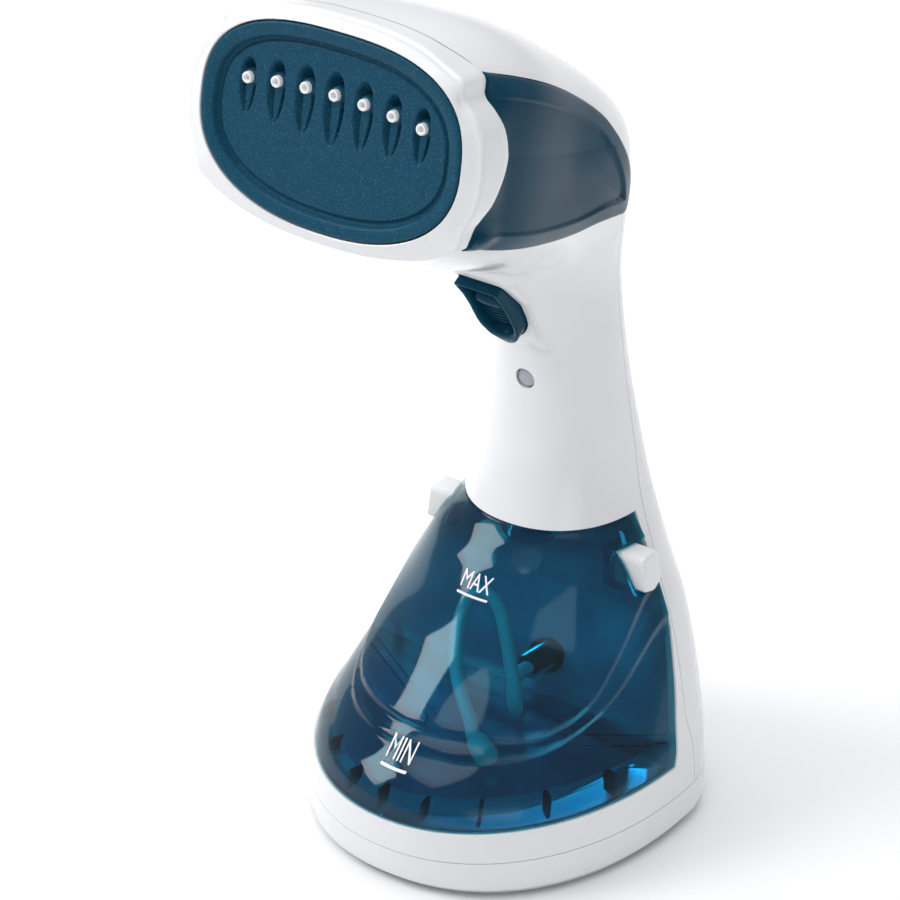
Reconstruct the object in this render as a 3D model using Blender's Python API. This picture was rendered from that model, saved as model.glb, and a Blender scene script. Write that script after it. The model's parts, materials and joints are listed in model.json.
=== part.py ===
"""Hand-held garment steamer: white housing, translucent water tank, wide steam head.

Frame: +Z up, the steam plate faces -Y, the plane X = 0 is the plane of symmetry, and
Z = 0 is the surface that the rubber feet stand on. The skin is one loft whose stations
fan round from the level base, up the neck and forward into the head; every housing shell
is a region of that loft.
"""

import math

import bmesh
import bpy
import numpy as np
from mathutils import Vector

MM = 0.001
GAP = 0.3 * MM

# ---- driving dimensions ---------------------------------------------------------------

WALL = 2.4 * MM
TANK_WALL = 2.0 * MM
TANK_SETBACK = 0.5 * MM
TANK_FLOOR_Z = 31.0 * MM
PANEL_PROUD = 0.8 * MM

FOOT_HEIGHT = 0.9 * MM
BASE_BOTTOM = 1.2 * MM
PARTING_Z = 13.0 * MM
BAY_FLOOR_Z = 22.6 * MM
BAY_TOP_Z = 92.0 * MM

FACE_TILT = math.radians(10.9)
FACE_Y = -52.45 * MM
FACE_Z = 259.6 * MM
FACE_TOP = 21.3 * MM
FACE_BOTTOM = -40.7 * MM

PLATE_HALF_WIDTH = 41.4 * MM
PLATE_HALF_HEIGHT = 26.8 * MM
PLATE_CENTRE_V = -9.7 * MM
PLATE_THICKNESS = 4.3 * MM
PLATE_PROUD = 1.2 * MM
NOZZLE_COUNT = 7
NOZZLE_PITCH = 9.3 * MM
NOZZLE_V = 0.35 * MM
NOZZLE_DROOP = 0.22 * MM
NOZZLE_RADIUS = 1.6 * MM

TRIGGER_Y = 18.0 * MM
TRIGGER_Z = 166.8 * MM
TRIGGER_TILT = math.radians(26.0)
TRIGGER_DEPTH = 21.0 * MM
PIVOT_T = 8.0 * MM
PIVOT_A = -18.4 * MM

LATCH_Y = 47.6 * MM
LATCH_Z = 78.0 * MM
PUMP_CENTRE = (0.0, 65.0 * MM, 60.0 * MM)
VALVE_X = 4.0 * MM
VALVE_Z = 38.0 * MM
PLUG_Y = 42.5 * MM
GLAND_Y = 71.6 * MM
GLAND_LENGTH = 10.6 * MM

# Stations of the skin, in mm: front y, z, rear y, z, half-width, front exponent,
# rear exponent, and how far back the widest point lies.
STATIONS = (
    (-33.0, 1.2, 73.5, 1.2, 56.4, 2.2, 2.2, 0.68),
    (-36.2, 6.0, 76.5, 6.0, 58.8, 2.15, 2.2, 0.68),
    (-36.4, 24.0, 78.4, 24.0, 56.9, 2.05, 2.2, 0.68),
    (-32.0, 33.0, 79.2, 33.0, 53.6, 1.9, 2.45, 0.67),
    (-16.7, 44.0, 79.6, 46.0, 49.2, 1.82, 2.55, 0.65),
    (2.2, 59.4, 79.4, 62.0, 42.6, 1.8, 2.65, 0.63),
    (13.8, 73.6, 79.6, 77.0, 35.2, 1.98, 2.5, 0.61),
    (27.2, 91.0, 78.2, 96.0, 27.2, 2.15, 2.48, 0.60),
    (35.8, 112.0, 76.0, 116.6, 22.4, 2.15, 2.4, 0.56),
    (37.0, 136.0, 73.7, 140.8, 19.0, 2.2, 2.35, 0.50),
    (33.0, 157.0, 73.5, 167.0, 16.8, 2.2, 2.3, 0.50),
    (25.2, 172.3, 70.0, 193.0, 20.8, 2.2, 2.6, 0.50),
    (15.0, 181.5, 57.0, 223.0, 27.6, 2.4, 2.8, 0.56),
    (-8.0, 193.0, 20.5, 253.0, 36.3, 2.6, 2.4, 0.50),
    (-32.0, 205.0, -12.0, 271.0, 43.0, 2.8, 2.5, 0.50),
)

# ---- materials ------------------------------------------------------------------------

WHITE = (0.86, 0.87, 0.88, 1.0)
PETROL = (0.010, 0.085, 0.145, 1.0)
TEAL = (0.02, 0.42, 0.46, 1.0)


def make_material(name, color, roughness, metallic=0.0, transmission=0.0):
    """Return a Principled material."""
    material = bpy.data.materials.new(name)
    material.use_nodes = True
    shader = material.node_tree.nodes["Principled BSDF"]
    shader.inputs["Base Color"].default_value = color
    shader.inputs["Roughness"].default_value = roughness
    shader.inputs["Metallic"].default_value = metallic
    shader.inputs["Transmission Weight"].default_value = transmission
    return material


# ---- local frames ---------------------------------------------------------------------


def face_point(x, v, d):
    """Point of the steam plate's frame: v up the face, d straight into the head."""
    y = FACE_Y + v * math.sin(FACE_TILT) + d * math.cos(FACE_TILT)
    z = FACE_Z + v * math.cos(FACE_TILT) - d * math.sin(FACE_TILT)
    return (x, y, z)


def trigger_point(x, t, a):
    """Point of the trigger's frame: t up its face, a outwards from its face."""
    y = TRIGGER_Y - t * math.sin(TRIGGER_TILT) - a * math.cos(TRIGGER_TILT)
    z = TRIGGER_Z + t * math.cos(TRIGGER_TILT) - a * math.sin(TRIGGER_TILT)
    return (x, y, z)


# ---- mesh helpers ---------------------------------------------------------------------


def new_object(name, vertices, faces, material=None, sharp_angle=35.0):
    """Make a mesh object with outward faces, shaded smooth between its sharp edges."""
    mesh = bpy.data.meshes.new(name)
    mesh.from_pydata([tuple(v) for v in vertices], [], faces)
    work = bmesh.new()
    work.from_mesh(mesh)
    bmesh.ops.recalc_face_normals(work, faces=work.faces)
    work.to_mesh(mesh)
    work.free()
    mesh.shade_smooth()
    mesh.set_sharp_from_angle(angle=math.radians(sharp_angle))
    item = bpy.data.objects.new(name, mesh)
    bpy.context.scene.collection.objects.link(item)
    if material:
        mesh.materials.append(material)
    else:
        item.hide_render = True
        item.display_type = "WIRE"
    return item


def stack(name, loops, material=None, sharp_angle=35.0):
    """Close a stack of equal loops into a solid with flat ends."""
    count = len(loops[0])
    vertices = [point for loop in loops for point in loop]
    faces = []
    for row in range(len(loops) - 1):
        for i in range(count):
            j = (i + 1) % count
            low, high = row * count, (row + 1) * count
            faces.append((low + i, low + j, high + j, high + i))
    faces.append(tuple(range(count)))
    last = (len(loops) - 1) * count
    faces.append(tuple(last + i for i in range(count)))
    return new_object(name, vertices, faces, material, sharp_angle)


def ring_stack(name, loops, material, sharp_angle=35.0):
    """Close a cycle of equal loops into a ring-shaped solid."""
    count = len(loops[0])
    vertices = [point for loop in loops for point in loop]
    faces = []
    for row in range(len(loops)):
        following = (row + 1) % len(loops)
        for i in range(count):
            j = (i + 1) % count
            faces.append((row * count + i, row * count + j, following * count + j, following * count + i))
    return new_object(name, vertices, faces, material, sharp_angle)


def prism_x(name, outline, half_width, material=None, centre_x=0.0):
    """Extrude an outline of (y, z) points in mm along X."""
    low = [(centre_x - half_width, y * MM, z * MM) for y, z in outline]
    high = [(centre_x + half_width, y * MM, z * MM) for y, z in outline]
    return stack(name, [low, high], material)


def box(name, low, high, material=None):
    """Box between two corners in mm."""
    corners = [(low[0], low[1]), (high[0], low[1]), (high[0], high[1]), (low[0], high[1])]
    loops = [[(x * MM, y * MM, z * MM) for x, y in corners] for z in (low[2], high[2])]
    return stack(name, loops, material)


def circle_about(centre, direction, radius, sides, turn=0.0):
    """Points of a circle about an axis."""
    axis = Vector(direction).normalized()
    helper = Vector((1, 0, 0)) if abs(axis.x) < 0.9 else Vector((0, 1, 0))
    across = axis.cross(helper).normalized()
    up = axis.cross(across)
    points = []
    for i in range(sides):
        angle = turn + 2 * math.pi * i / sides
        points.append(Vector(centre) + radius * (math.cos(angle) * across + math.sin(angle) * up))
    return points


def turned(name, start, direction, profile, material=None, sides=24):
    """Turn a profile of (distance along the axis, radius) in mm about an axis."""
    axis = Vector(direction).normalized()
    loops = []
    for along, radius in profile:
        loops.append(circle_about(Vector(start) + axis * along * MM, direction, radius * MM, sides))
    return stack(name, loops, material)


def turned_ring(name, start, direction, profile, material, sides=24):
    """Turn a closed profile of (distance, radius) in mm into a ring."""
    axis = Vector(direction).normalized()
    loops = []
    for along, radius in profile:
        loops.append(circle_about(Vector(start) + axis * along * MM, direction, radius * MM, sides))
    return ring_stack(name, loops, material)


def smooth_path(points, per_span):
    """Catmull-Rom curve through control points given in mm."""
    control = [np.array(p, float) * MM for p in points]
    control = [2 * control[0] - control[1]] + control + [2 * control[-1] - control[-2]]
    path = []
    for i in range(len(control) - 3):
        for step in range(per_span):
            path.append(catmull_rom(control[i:i + 4], step / per_span))
    path.append(control[-2])
    return path


def catmull_rom(p, t):
    """Uniform Catmull-Rom interpolation between the middle two of four values."""
    linear = p[2] - p[0]
    square = 2 * p[0] - 5 * p[1] + 4 * p[2] - p[3]
    cube = -p[0] + 3 * p[1] - 3 * p[2] + p[3]
    return 0.5 * (2 * p[1] + linear * t + square * t ** 2 + cube * t ** 3)


def swept_loops(path, radius, sides):
    """Circles carried along a path without twisting."""
    path = [Vector(p) for p in path]
    across = None
    loops = []
    for i, point in enumerate(path):
        tangent = (path[min(i + 1, len(path) - 1)] - path[max(i - 1, 0)]).normalized()
        if across is None:
            helper = Vector((1, 0, 0)) if abs(tangent.x) < 0.9 else Vector((0, 1, 0))
            across = tangent.cross(helper).normalized()
        across = (across - tangent * across.dot(tangent)).normalized()
        up = tangent.cross(across)
        loop = []
        for k in range(sides):
            angle = 2 * math.pi * k / sides
            loop.append(point + radius * (math.cos(angle) * across + math.sin(angle) * up))
        loops.append(loop)
    return loops


def tube(name, points, radius, material=None, sides=8, per_span=4):
    """Solid round bar or hose through control points in mm."""
    return stack(name, swept_loops(smooth_path(points, per_span), radius, sides), material)


def coil(name, start, direction, length, radius, wire, turns, material):
    """Helical compression spring with its ends on two planes."""
    axis = Vector(direction).normalized()
    steps = 9 * turns
    path = []
    for i in range(steps + 1):
        angle = 2 * math.pi * turns * i / steps
        along = wire + (length - 2 * wire) * i / steps
        spoke = circle_about((0, 0, 0), direction, radius, 1, angle)[0]
        path.append(Vector(start) + axis * along + spoke)
    return stack(name, swept_loops(path, wire, 5), material)


def boolean(item, cutter, operation):
    """Add an exact Boolean modifier."""
    modifier = item.modifiers.new(operation.lower(), "BOOLEAN")
    modifier.operation = operation
    modifier.solver = "EXACT"
    modifier.object = cutter
    return item


def cut(item, *cutters):
    """Remove cutters from an object."""
    for cutter in cutters:
        boolean(item, cutter, "DIFFERENCE")
    return item


def keep(item, region):
    """Keep what lies inside a region."""
    return boolean(item, region, "INTERSECT")


# ---- the skin -------------------------------------------------------------------------


def skin_stations():
    """Station rows in metres, with the two head-end rows worked out from the face plane."""
    rows = []
    for row in STATIONS:
        rows.append([value * MM for value in row[:5]] + list(row[5:]))
    for depth in (5.0 * MM, 0.0):
        bottom = face_point(0, FACE_BOTTOM, depth)
        top = face_point(0, FACE_TOP, depth)
        rows.append([bottom[1], bottom[2], top[1], top[2], 45.4 * MM, 2.8, 2.6, 0.5])
    return np.array(rows)


def skin_rows(first, last, per_station):
    """Interpolated stations between two station numbers."""
    rows = skin_stations()
    rows = np.vstack([2 * rows[0] - rows[1], rows, 2 * rows[-1] - rows[-2]])
    values = []
    for i in range(first, last):
        for step in range(per_station):
            values.append(catmull_rom(rows[i:i + 4], step / per_station))
    values.append(rows[last + 1])
    return values


def skin_loop(row, inset, sides):
    """Closed section of the skin at one station, moved inwards by inset."""
    front = np.array([0.0, row[0], row[1]])
    rear = np.array([0.0, row[2], row[3]])
    along = (rear - front) / np.linalg.norm(rear - front)
    front = front + along * inset
    rear = rear - along * inset
    width, front_power, rear_power, widest = row[4] - inset, row[5], row[6], row[7]
    points = []
    for i in range(sides):
        angle = 2 * math.pi * i / sides
        c, s = math.cos(angle), math.sin(angle)
        power = 2 / front_power if c > 0 else 2 / rear_power
        reach = abs(c) ** power
        share = widest - widest * reach if c > 0 else widest + (1 - widest) * reach
        point = front + (rear - front) * share
        point[0] = width * math.copysign(abs(s) ** power, s)
        points.append(point)
    return points


def skin(name, inset=0.0, first=0, last=16, per_station=2, sides=36, material=None):
    """Solid of the skin between two stations."""
    loops = [skin_loop(row, inset, sides) for row in skin_rows(first, last, per_station)]
    return stack(name, loops, material, 60.0)


def oval_loop(half_width, half_height, depth, sides=40, power=2.6, centre_v=PLATE_CENTRE_V):
    """Superellipse on a plane parallel to the steam plate."""
    points = []
    for i in range(sides):
        angle = 2 * math.pi * i / sides
        c, s = math.cos(angle), math.sin(angle)
        x = half_width * math.copysign(abs(c) ** (2 / power), c)
        v = half_height * math.copysign(abs(s) ** (2 / power), s)
        points.append(face_point(x, centre_v + v, depth))
    return points


def oval_prism(name, half_width, half_height, near, far, material=None, sides=40):
    """Oval slab between two depths behind the face plane."""
    loops = [oval_loop(half_width, half_height, depth, sides) for depth in (near, far)]
    return stack(name, loops, material)


# ---- regions that split the skin into shells ------------------------------------------

SEAM = (
    (-60.0, 254.0), (-30.0, 242.0), (10.0, 223.0), (36.0, 208.0), (50.0, 197.5),
    (55.5, 188.5), (59.0, 178.0), (61.5, 162.0), (61.5, 110.0), (57.8, 82.0),
    (51.7, 55.0), (45.8, 34.0), (44.0, 10.0),
)
BAY_REAR = ((35.0, 22.6), (39.6, 31.0), (44.4, 41.5), (51.6, 59.0), (54.6, 76.0), (55.4, 92.0))
LEAF = (
    (-50.0, 275.3), (-30.0, 266.7), (-20.2, 262.2), (-7.8, 255.8), (6.4, 247.5), (19.2, 239.0),
    (29.5, 231.0), (36.7, 223.3), (43.4, 215.4), (50.2, 206.7), (55.6, 198.6), (58.0, 192.8),
    (57.6, 189.4), (54.5, 188.6), (49.9, 190.2), (34.5, 195.2), (17.8, 199.4), (0.9, 205.0),
    (-16.0, 211.3), (-32.6, 218.1), (-44.3, 223.4), (-64.0, 233.7),
)
BOW = ((8.4, 40.0), (8.4, 24.0), (8.8, 21.0), (9.8, 18.0), (12.4, 14.8), (12.8, 12.6), (11.6, 9.6),
       (11.2, 7.5), (11.8, 4.5), (13.0, 1.2), (13.7, -3.5), (13.9, -7.1), (12.6, -10.2),
       (10.4, -14.4), (8.3, -18.9), (6.4, -22.2), (5.2, -24.8), (4.8, -28.0), (5.1, -31.2),
       (5.1, -60.0))


def grown(outline, distance):
    """Outline moved outwards by a distance in mm, its corners mitred."""
    count = len(outline)
    area = sum(outline[i][0] * outline[(i + 1) % count][1] - outline[(i + 1) % count][0] * outline[i][1]
               for i in range(count))
    side = 1.0 if area > 0 else -1.0
    result = []
    for i in range(count):
        before = Vector(outline[i]) - Vector(outline[i - 1])
        after = Vector(outline[(i + 1) % count]) - Vector(outline[i])
        normal_before = side * Vector((before.y, -before.x)).normalized()
        normal_after = side * Vector((after.y, -after.x)).normalized()
        mitre = (normal_before + normal_after).normalized()
        reach = distance / max(0.4, mitre.dot(normal_before))
        result.append(tuple(Vector(outline[i]) + mitre * reach))
    return result


def bay_outline(offset):
    """Side view of the tank's space, moved outwards by offset in mm."""
    outline = [(-70.0, BAY_FLOOR_Z / MM)] + list(BAY_REAR) + [(-70.0, BAY_TOP_Z / MM)]
    return grown(outline, offset)


def rear_outline(offset):
    """Side view of everything behind the seam, moved outwards by offset in mm."""
    outline = list(SEAM) + [(120.0, 10.0), (120.0, 320.0), (-80.0, 320.0)]
    return grown(outline, offset)


def bow_outline(offset):
    """Side view of the bezel's space in front of its bow-shaped rear edge."""
    points = []
    for depth, v in BOW:
        _, y, z = face_point(0, v * MM, (depth + offset) * MM)
        points.append((y / MM, z / MM))
    far = [face_point(0, v * MM, -30 * MM) for v in (-60.0, 40.0)]
    return points + [(p[1] / MM, p[2] / MM) for p in far]


def trigger_outline(growth, floor_growth=0.0):
    """Front view of the trigger: (x, t) in mm."""
    right = [(7.3, 11.8), (7.0, 2.0), (7.0, -7.0), (6.6, -10.5), (5.0, -13.8), (2.8, -16.8), (0.9, -18.2)]
    outline = right + [(-x, t) for x, t in reversed(right)]
    outline = grown(outline, growth) if growth else outline
    return [(x, t - floor_growth if t < 0 else t) for x, t in outline]


def trigger_slab(name, profile, half_width, material=None):
    """Extrude a side view of (t, a) points, in mm, to both sides of the symmetry plane."""
    loops = []
    for x in (-half_width, half_width):
        loops.append([trigger_point(x * MM, t * MM, a * MM) for t, a in profile])
    return stack(name, loops, material)


def trigger_prism(name, outline, near, far, material=None):
    """Extrude a front outline between two distances along the trigger's axis, in mm."""
    loops = []
    for a in (near, far):
        loops.append([trigger_point(x * MM, t * MM, a * MM) for x, t in outline])
    return stack(name, loops, material)


# ---- housing --------------------------------------------------------------------------


def build_cutters():
    """Regions shared by several shells."""
    cutters = {}
    cutters["inner_skin"] = skin("cut_inner_skin", WALL, 0, 16, 2, 28)
    cutters["bay"] = prism_x("cut_bay", bay_outline(0.0), 0.1)
    cutters["bay_walls"] = prism_x("cut_bay_walls", bay_outline(WALL / MM), 0.1)
    cutters["rear"] = prism_x("cut_rear", rear_outline(0.0), 0.1)
    cutters["not_rear"] = prism_x("cut_not_rear", rear_outline(GAP / MM), 0.1)
    cutters["bezel_space"] = prism_x("cut_bezel_space", bow_outline(0.0), 0.1)
    cutters["not_bezel"] = prism_x("cut_not_bezel", bow_outline(GAP / MM), 0.1)
    cutters["plinth_space"] = box("cut_plinth", (-90, -90, -5), (90, 110, PARTING_Z / MM))
    cutters["not_plinth"] = box("cut_not_plinth", (-91, -91, -6), (91, 111, PARTING_Z / MM + 0.3))
    for side, sign in (("left", -1), ("right", 1)):
        cutters["leaf_" + side] = prism_x(
            "cut_leaf_" + side, grown(LEAF, GAP / MM), 0.0262, None, sign * 0.0381)
    return cutters


def build_trigger_boss():
    """Swelling of the neck that carries the trigger's opening."""
    loops = []
    for growth, drop in ((1.0, 0.0), (2.6, 1.2), (4.6, 4.0), (6.0, 9.0), (6.0, 14.0)):
        loop = []
        for x, t in grown(trigger_outline(0.0), growth):
            front = -0.8 - 0.36 * (12.0 - t) if t > -1.0 else -5.5 + 0.04 * (t + 1.0)
            loop.append(trigger_point(x * MM, t * MM, (front - drop) * MM))
        loops.append(loop)
    return stack("cut_trigger_boss", loops)


def build_front_shell(cutters, material):
    """Neck, side strips, band under the tank, tank bay walls and head underside."""
    hollow = skin("cut_front_hollow", WALL, 0, 16, 2, 28)
    cut(hollow, cutters["bay_walls"])
    shell = skin("front_shell", material=material)
    boolean(shell, build_trigger_boss(), "UNION")
    cut(shell, cutters["not_rear"], cutters["not_bezel"], cutters["not_plinth"])
    cut(shell, hollow, cutters["bay"], cutters["leaf_left"], cutters["leaf_right"])
    cut(shell, trigger_prism("cut_trigger_hole", trigger_outline(0.6, 1.2), 8.0, -24.0))
    led_hole = turned("cut_led_hole", (0, 30 * MM, 136 * MM), (0, 1, 0), [(0, 3.0), (12, 3.0)])
    socket_hole = turned("cut_socket_hole", (VALVE_X, 30 * MM, VALVE_Z), (0, 1, 0), [(0, 5.6), (20, 5.6)])
    plug_hole = turned("cut_plug_room", (0, PLUG_Y, 88 * MM), (0, 0, 1), [(0, 8.2), (10, 8.2)])
    return cut(shell, led_hole, socket_hole, plug_hole)


def build_rear_cover(cutters, material):
    """Long back half: head top, back of the neck and back of the body."""
    shell = skin("rear_cover", material=material)
    keep(shell, cutters["rear"])
    cut(shell, cutters["leaf_left"], cutters["leaf_right"], cutters["not_bezel"], cutters["not_plinth"])
    cut(shell, cutters["inner_skin"])
    gland_hole = turned("cut_gland_hole", (0, 70 * MM, 24 * MM), (0, 1, 0), [(0, 6.0), (20, 6.0)])
    cut(shell, gland_hole)
    for index, (y, z) in enumerate(COVER_SCREWS):
        hole = turned("cut_cover_screw_%d" % index, (0, (y - 8) * MM, z * MM), (0, 1, 0), [(0, 3.7), (20, 3.7)])
        cut(shell, hole)
    return shell


def build_base_cup(cutters, material):
    """Bottom cup with its floor."""
    hollow = skin("cut_base_hollow", WALL, 0, 2, 3, 28)
    cut(hollow, box("cut_base_floor", (-90, -90, -5), (90, 110, 3.7)))
    cup = skin("base_cup", first=0, last=2, material=material)
    keep(cup, cutters["plinth_space"])
    cut(cup, hollow)
    for index, (x, y) in enumerate(BASE_SCREWS):
        hole = turned("cut_base_screw_%d" % index, (x * MM, y * MM, 0), (0, 0, 1), [(-1, 1.8), (6, 1.8)], sides=12)
        cut(cup, hole)
    return cup


def build_bezel(cutters, material):
    """White ring round the steam plate, with a bow-shaped rear edge."""
    ring = skin("bezel", first=14, last=16, per_station=2, material=material)
    keep(ring, cutters["bezel_space"])
    opening = oval_prism(
        "cut_plate_opening", PLATE_HALF_WIDTH + GAP, PLATE_HALF_HEIGHT + GAP, -0.02, 0.06, None, 48)
    return cut(ring, opening)


def build_side_panel(side, sign, cutters, material):
    """Blue leaf-shaped panel, a little proud of the head's side."""
    panel = skin("side_panel_" + side, -PANEL_PROUD, 10, 16, material=material)
    keep(panel, prism_x("cut_panel_" + side, LEAF, 0.024, None, sign * 0.037))
    return cut(panel, cutters["not_bezel"], cutters["inner_skin"])


# ---- steam head -----------------------------------------------------------------------


def nozzle_place(index):
    """Place of a nozzle on the face: x and v."""
    step = index - (NOZZLE_COUNT - 1) / 2
    return step * NOZZLE_PITCH, NOZZLE_V - NOZZLE_DROOP * step ** 2


def leaf_groove(index):
    """Shallow leaf-shaped scoop that runs down from a nozzle."""
    x, v = nozzle_place(index)
    step = abs(index - (NOZZLE_COUNT - 1) / 2)
    half_length = (9.6 - 0.7 * step) * MM
    half_width = (3.9 - 0.4 * step) * MM
    depth = 1.7 * MM
    centre_v = v + 6.8 * MM - half_length
    loops = []
    for ring in range(5):
        angle = 0.5 * math.pi * (ring + 0.3) / 5.3
        scale, low = math.cos(angle), depth * math.sin(angle)
        loop = []
        for k in range(12):
            turn = 2 * math.pi * k / 12
            leaf = (1 - 0.35 * abs(math.sin(turn))) if math.sin(turn) else 1.0
            loop.append(face_point(x + half_width * scale * math.cos(turn) * leaf,
                                   centre_v + half_length * scale * math.sin(turn), low - PLATE_PROUD))
        loops.append(loop)
    top = [tuple(Vector(p) - Vector((0, math.cos(FACE_TILT), -math.sin(FACE_TILT))) * 0.002) for p in loops[0]]
    return stack("cut_groove_%d" % (index + 1), [top] + loops)


def build_soleplate(material):
    """Coated steam plate with a raised field, seven scoops and seven nozzle holes."""
    plate = oval_prism("soleplate", PLATE_HALF_WIDTH, PLATE_HALF_HEIGHT, -PLATE_PROUD,
                       PLATE_THICKNESS - PLATE_PROUD, material, 48)
    moat = ring_stack("cut_moat", [
        oval_loop(36.8 * MM, 22.6 * MM, -3.0 * MM), oval_loop(38.4 * MM, 24.1 * MM, -3.0 * MM),
        oval_loop(38.4 * MM, 24.1 * MM, -0.6 * MM), oval_loop(36.8 * MM, 22.6 * MM, -0.6 * MM)], None)
    cut(plate, moat)
    for index in range(NOZZLE_COUNT):
        x, v = nozzle_place(index)
        hole = turned("cut_nozzle_%d" % (index + 1), face_point(x, v, -4 * MM),
                      face_axis(), [(0, NOZZLE_RADIUS / MM + 0.3), (10, NOZZLE_RADIUS / MM + 0.3)], sides=16)
        cut(plate, leaf_groove(index), hole)
    return plate


def face_axis():
    """Direction straight into the head, square to the face."""
    return (0.0, math.cos(FACE_TILT), -math.sin(FACE_TILT))


def build_nozzles(material):
    """Seven short steam nozzles with a through bore."""
    outer = NOZZLE_RADIUS / MM
    for index in range(NOZZLE_COUNT):
        x, v = nozzle_place(index)
        profile = [(0, 0.8), (0, outer - 0.35), (0.35, outer), (4.4, outer), (4.4, 0.8)]
        turned_ring("nozzle_%d" % (index + 1), face_point(x, v, -1.1 * MM), face_axis(), profile, material, 16)


def heater_path(extra):
    """Route of the heating element in the chamber, in mm in the plate's frame."""
    half = [(12.0, 1.0, 25.0 + extra), (12.0, 1.0, 16.5), (13.5, 0.0, 12.8), (18.0, -3.0, 12.2),
            (22.0, -9.0, 12.2), (19.0, -17.0, 12.2), (10.0, -21.5, 12.2)]
    route = half + [(0.0, -22.5, 12.2)] + [(-x, v, d) for x, v, d in reversed(half)]
    return [tuple(c / MM for c in face_point(x * MM, v * MM, d * MM)) for x, v, d in route]


def build_steam_chamber(materials):
    """Cast chamber with its cover, heater, thermostat and thermal fuse."""
    chamber = oval_prism("steam_chamber", 33 * MM, 19 * MM, 5.2 * MM, 17.0 * MM, materials["cast"], 32)
    cut(chamber, tube("cut_heater", heater_path(6.0), 3.1 * MM, None, 8, 3))
    tube("heating_element", heater_path(0.0), 2.5 * MM, materials["steel"], 8, 3)
    cover = oval_prism("chamber_cover", 33 * MM, 19 * MM, 17.3 * MM, 19.0 * MM, materials["steel"], 32)
    for sign in (-1, 1):
        name = "cut_terminal_%s" % ("left" if sign < 0 else "right")
        cut(cover, turned(name, face_point(sign * 12 * MM, 1 * MM, 14 * MM), face_axis(), [(0, 3.1), (10, 3.1)]))
    inlet = turned("cut_steam_inlet", face_point(0, 2 * MM, 15 * MM), face_axis(), [(0, 2.6), (8, 2.6)], sides=12)
    cut(cover, inlet)
    gasket = [oval_loop(36 * MM, 21.5 * MM, 3.5 * MM, 32), oval_loop(33.5 * MM, 19.5 * MM, 3.5 * MM, 32),
              oval_loop(33.5 * MM, 19.5 * MM, 4.9 * MM, 32), oval_loop(36 * MM, 21.5 * MM, 4.9 * MM, 32)]
    ring_stack("plate_gasket", gasket, materials["seal"])
    turned("thermostat", face_point(0, -12 * MM, 19.3 * MM), face_axis(),
           [(0, 8.0), (1.2, 8.0), (1.2, 6.6), (6.0, 6.6)], materials["dark"])
    turned("thermal_fuse", face_point(-9 * MM, -24 * MM, 21.6 * MM), (1, 0, 0),
           [(0, 0.8), (2.5, 0.8), (2.5, 2.0), (15.5, 2.0), (15.5, 0.8), (18.0, 0.8)], materials["brass"], 12)


# ---- trigger group --------------------------------------------------------------------


def build_trigger(materials):
    """Trigger with its recess, pin, spring, lock slider, bracket and switch."""
    trigger = trigger_prism("trigger", trigger_outline(0.0), 4.0, -TRIGGER_DEPTH / MM, materials["blue"])
    face = [(16, 10), (16, 3.6), (11.8, 2.4), (5.0, 0.6), (-1.0, -0.3), (-9.5, -1.0), (-14.4, -1.5), (-22, -4.0),
            (-22, 10)]
    heel = [(-13.4, -9.5), (-13.4, -30), (-30, -30), (-30, -9.5)]
    recess = [(-5.0, -11.0), (5.0, -11.0), (5.7, -7.5), (5.7, 10.2), (-5.7, 10.2), (-5.7, -7.5)]
    cut(trigger, trigger_slab("cut_trigger_face", face, 12), trigger_slab("cut_trigger_heel", heel, 12))
    cut(trigger, trigger_prism("cut_trigger_recess", recess, 6.0, -7.0))
    pivot = trigger_point(0, PIVOT_T, PIVOT_A)
    pin_start = (-12.4 * MM, pivot[1], pivot[2])
    cut(trigger, turned("cut_pin_hole", (-20 * MM, pivot[1], pivot[2]), (1, 0, 0), [(0, 1.55), (40, 1.55)], sides=16))
    turned("trigger_pin", pin_start, (1, 0, 0), [(0, 1.2), (24.8, 1.2)], materials["steel"], 16)

    bracket_side = [(28.6, 180.0), (28.6, 187.0), (52.5, 187.0), (52.5, 155.0), (46.0, 155.0), (46.0, 166.0),
                    (36.0, 174.0)]
    bracket = prism_x("trigger_bracket", bracket_side, 11.2 * MM, materials["natural"])
    cut(bracket, box("cut_bracket_room", (-9.6, 10, 150), (9.6, 50.4, 190)))
    hole = turned("cut_bracket_pin", (-20 * MM, pivot[1], pivot[2]), (1, 0, 0), [(0, 1.5), (40, 1.5)], sides=16)
    cut(bracket, hole)

    coil("trigger_spring", (0, 42.8 * MM, 165 * MM), (0, 1, 0), 7.3 * MM, 2.6 * MM, 0.35 * MM, 5, materials["steel"])
    switch = box("micro_switch", (-3.2, 41.5, 172), (3.2, 50.1, 185), materials["dark"])
    lever = box("cut_switch_slot", (-1.0, 41.0, 174), (1.0, 43.0, 183))
    cut(switch, lever)
    build_lock_slider(materials["blue"])


def build_lock_slider(material):
    """Ribbed slider with a crowned back, low in the trigger's recess."""
    profile = [(-7.4, -6.4), (-7.4, -4.6), (-6.4, -3.4), (-5.4, -4.2), (-4.4, -2.9), (-3.4, -3.9),
               (-2.4, -2.5), (-1.4, -3.5), (-0.4, -2.2), (1.2, -1.6), (3.0, -1.5), (4.6, -2.2), (5.4, -3.6),
               (5.4, -6.4)]
    return trigger_slab("lock_slider", profile, 4.6, material)


# ---- neck, pump and base inside -------------------------------------------------------


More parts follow.
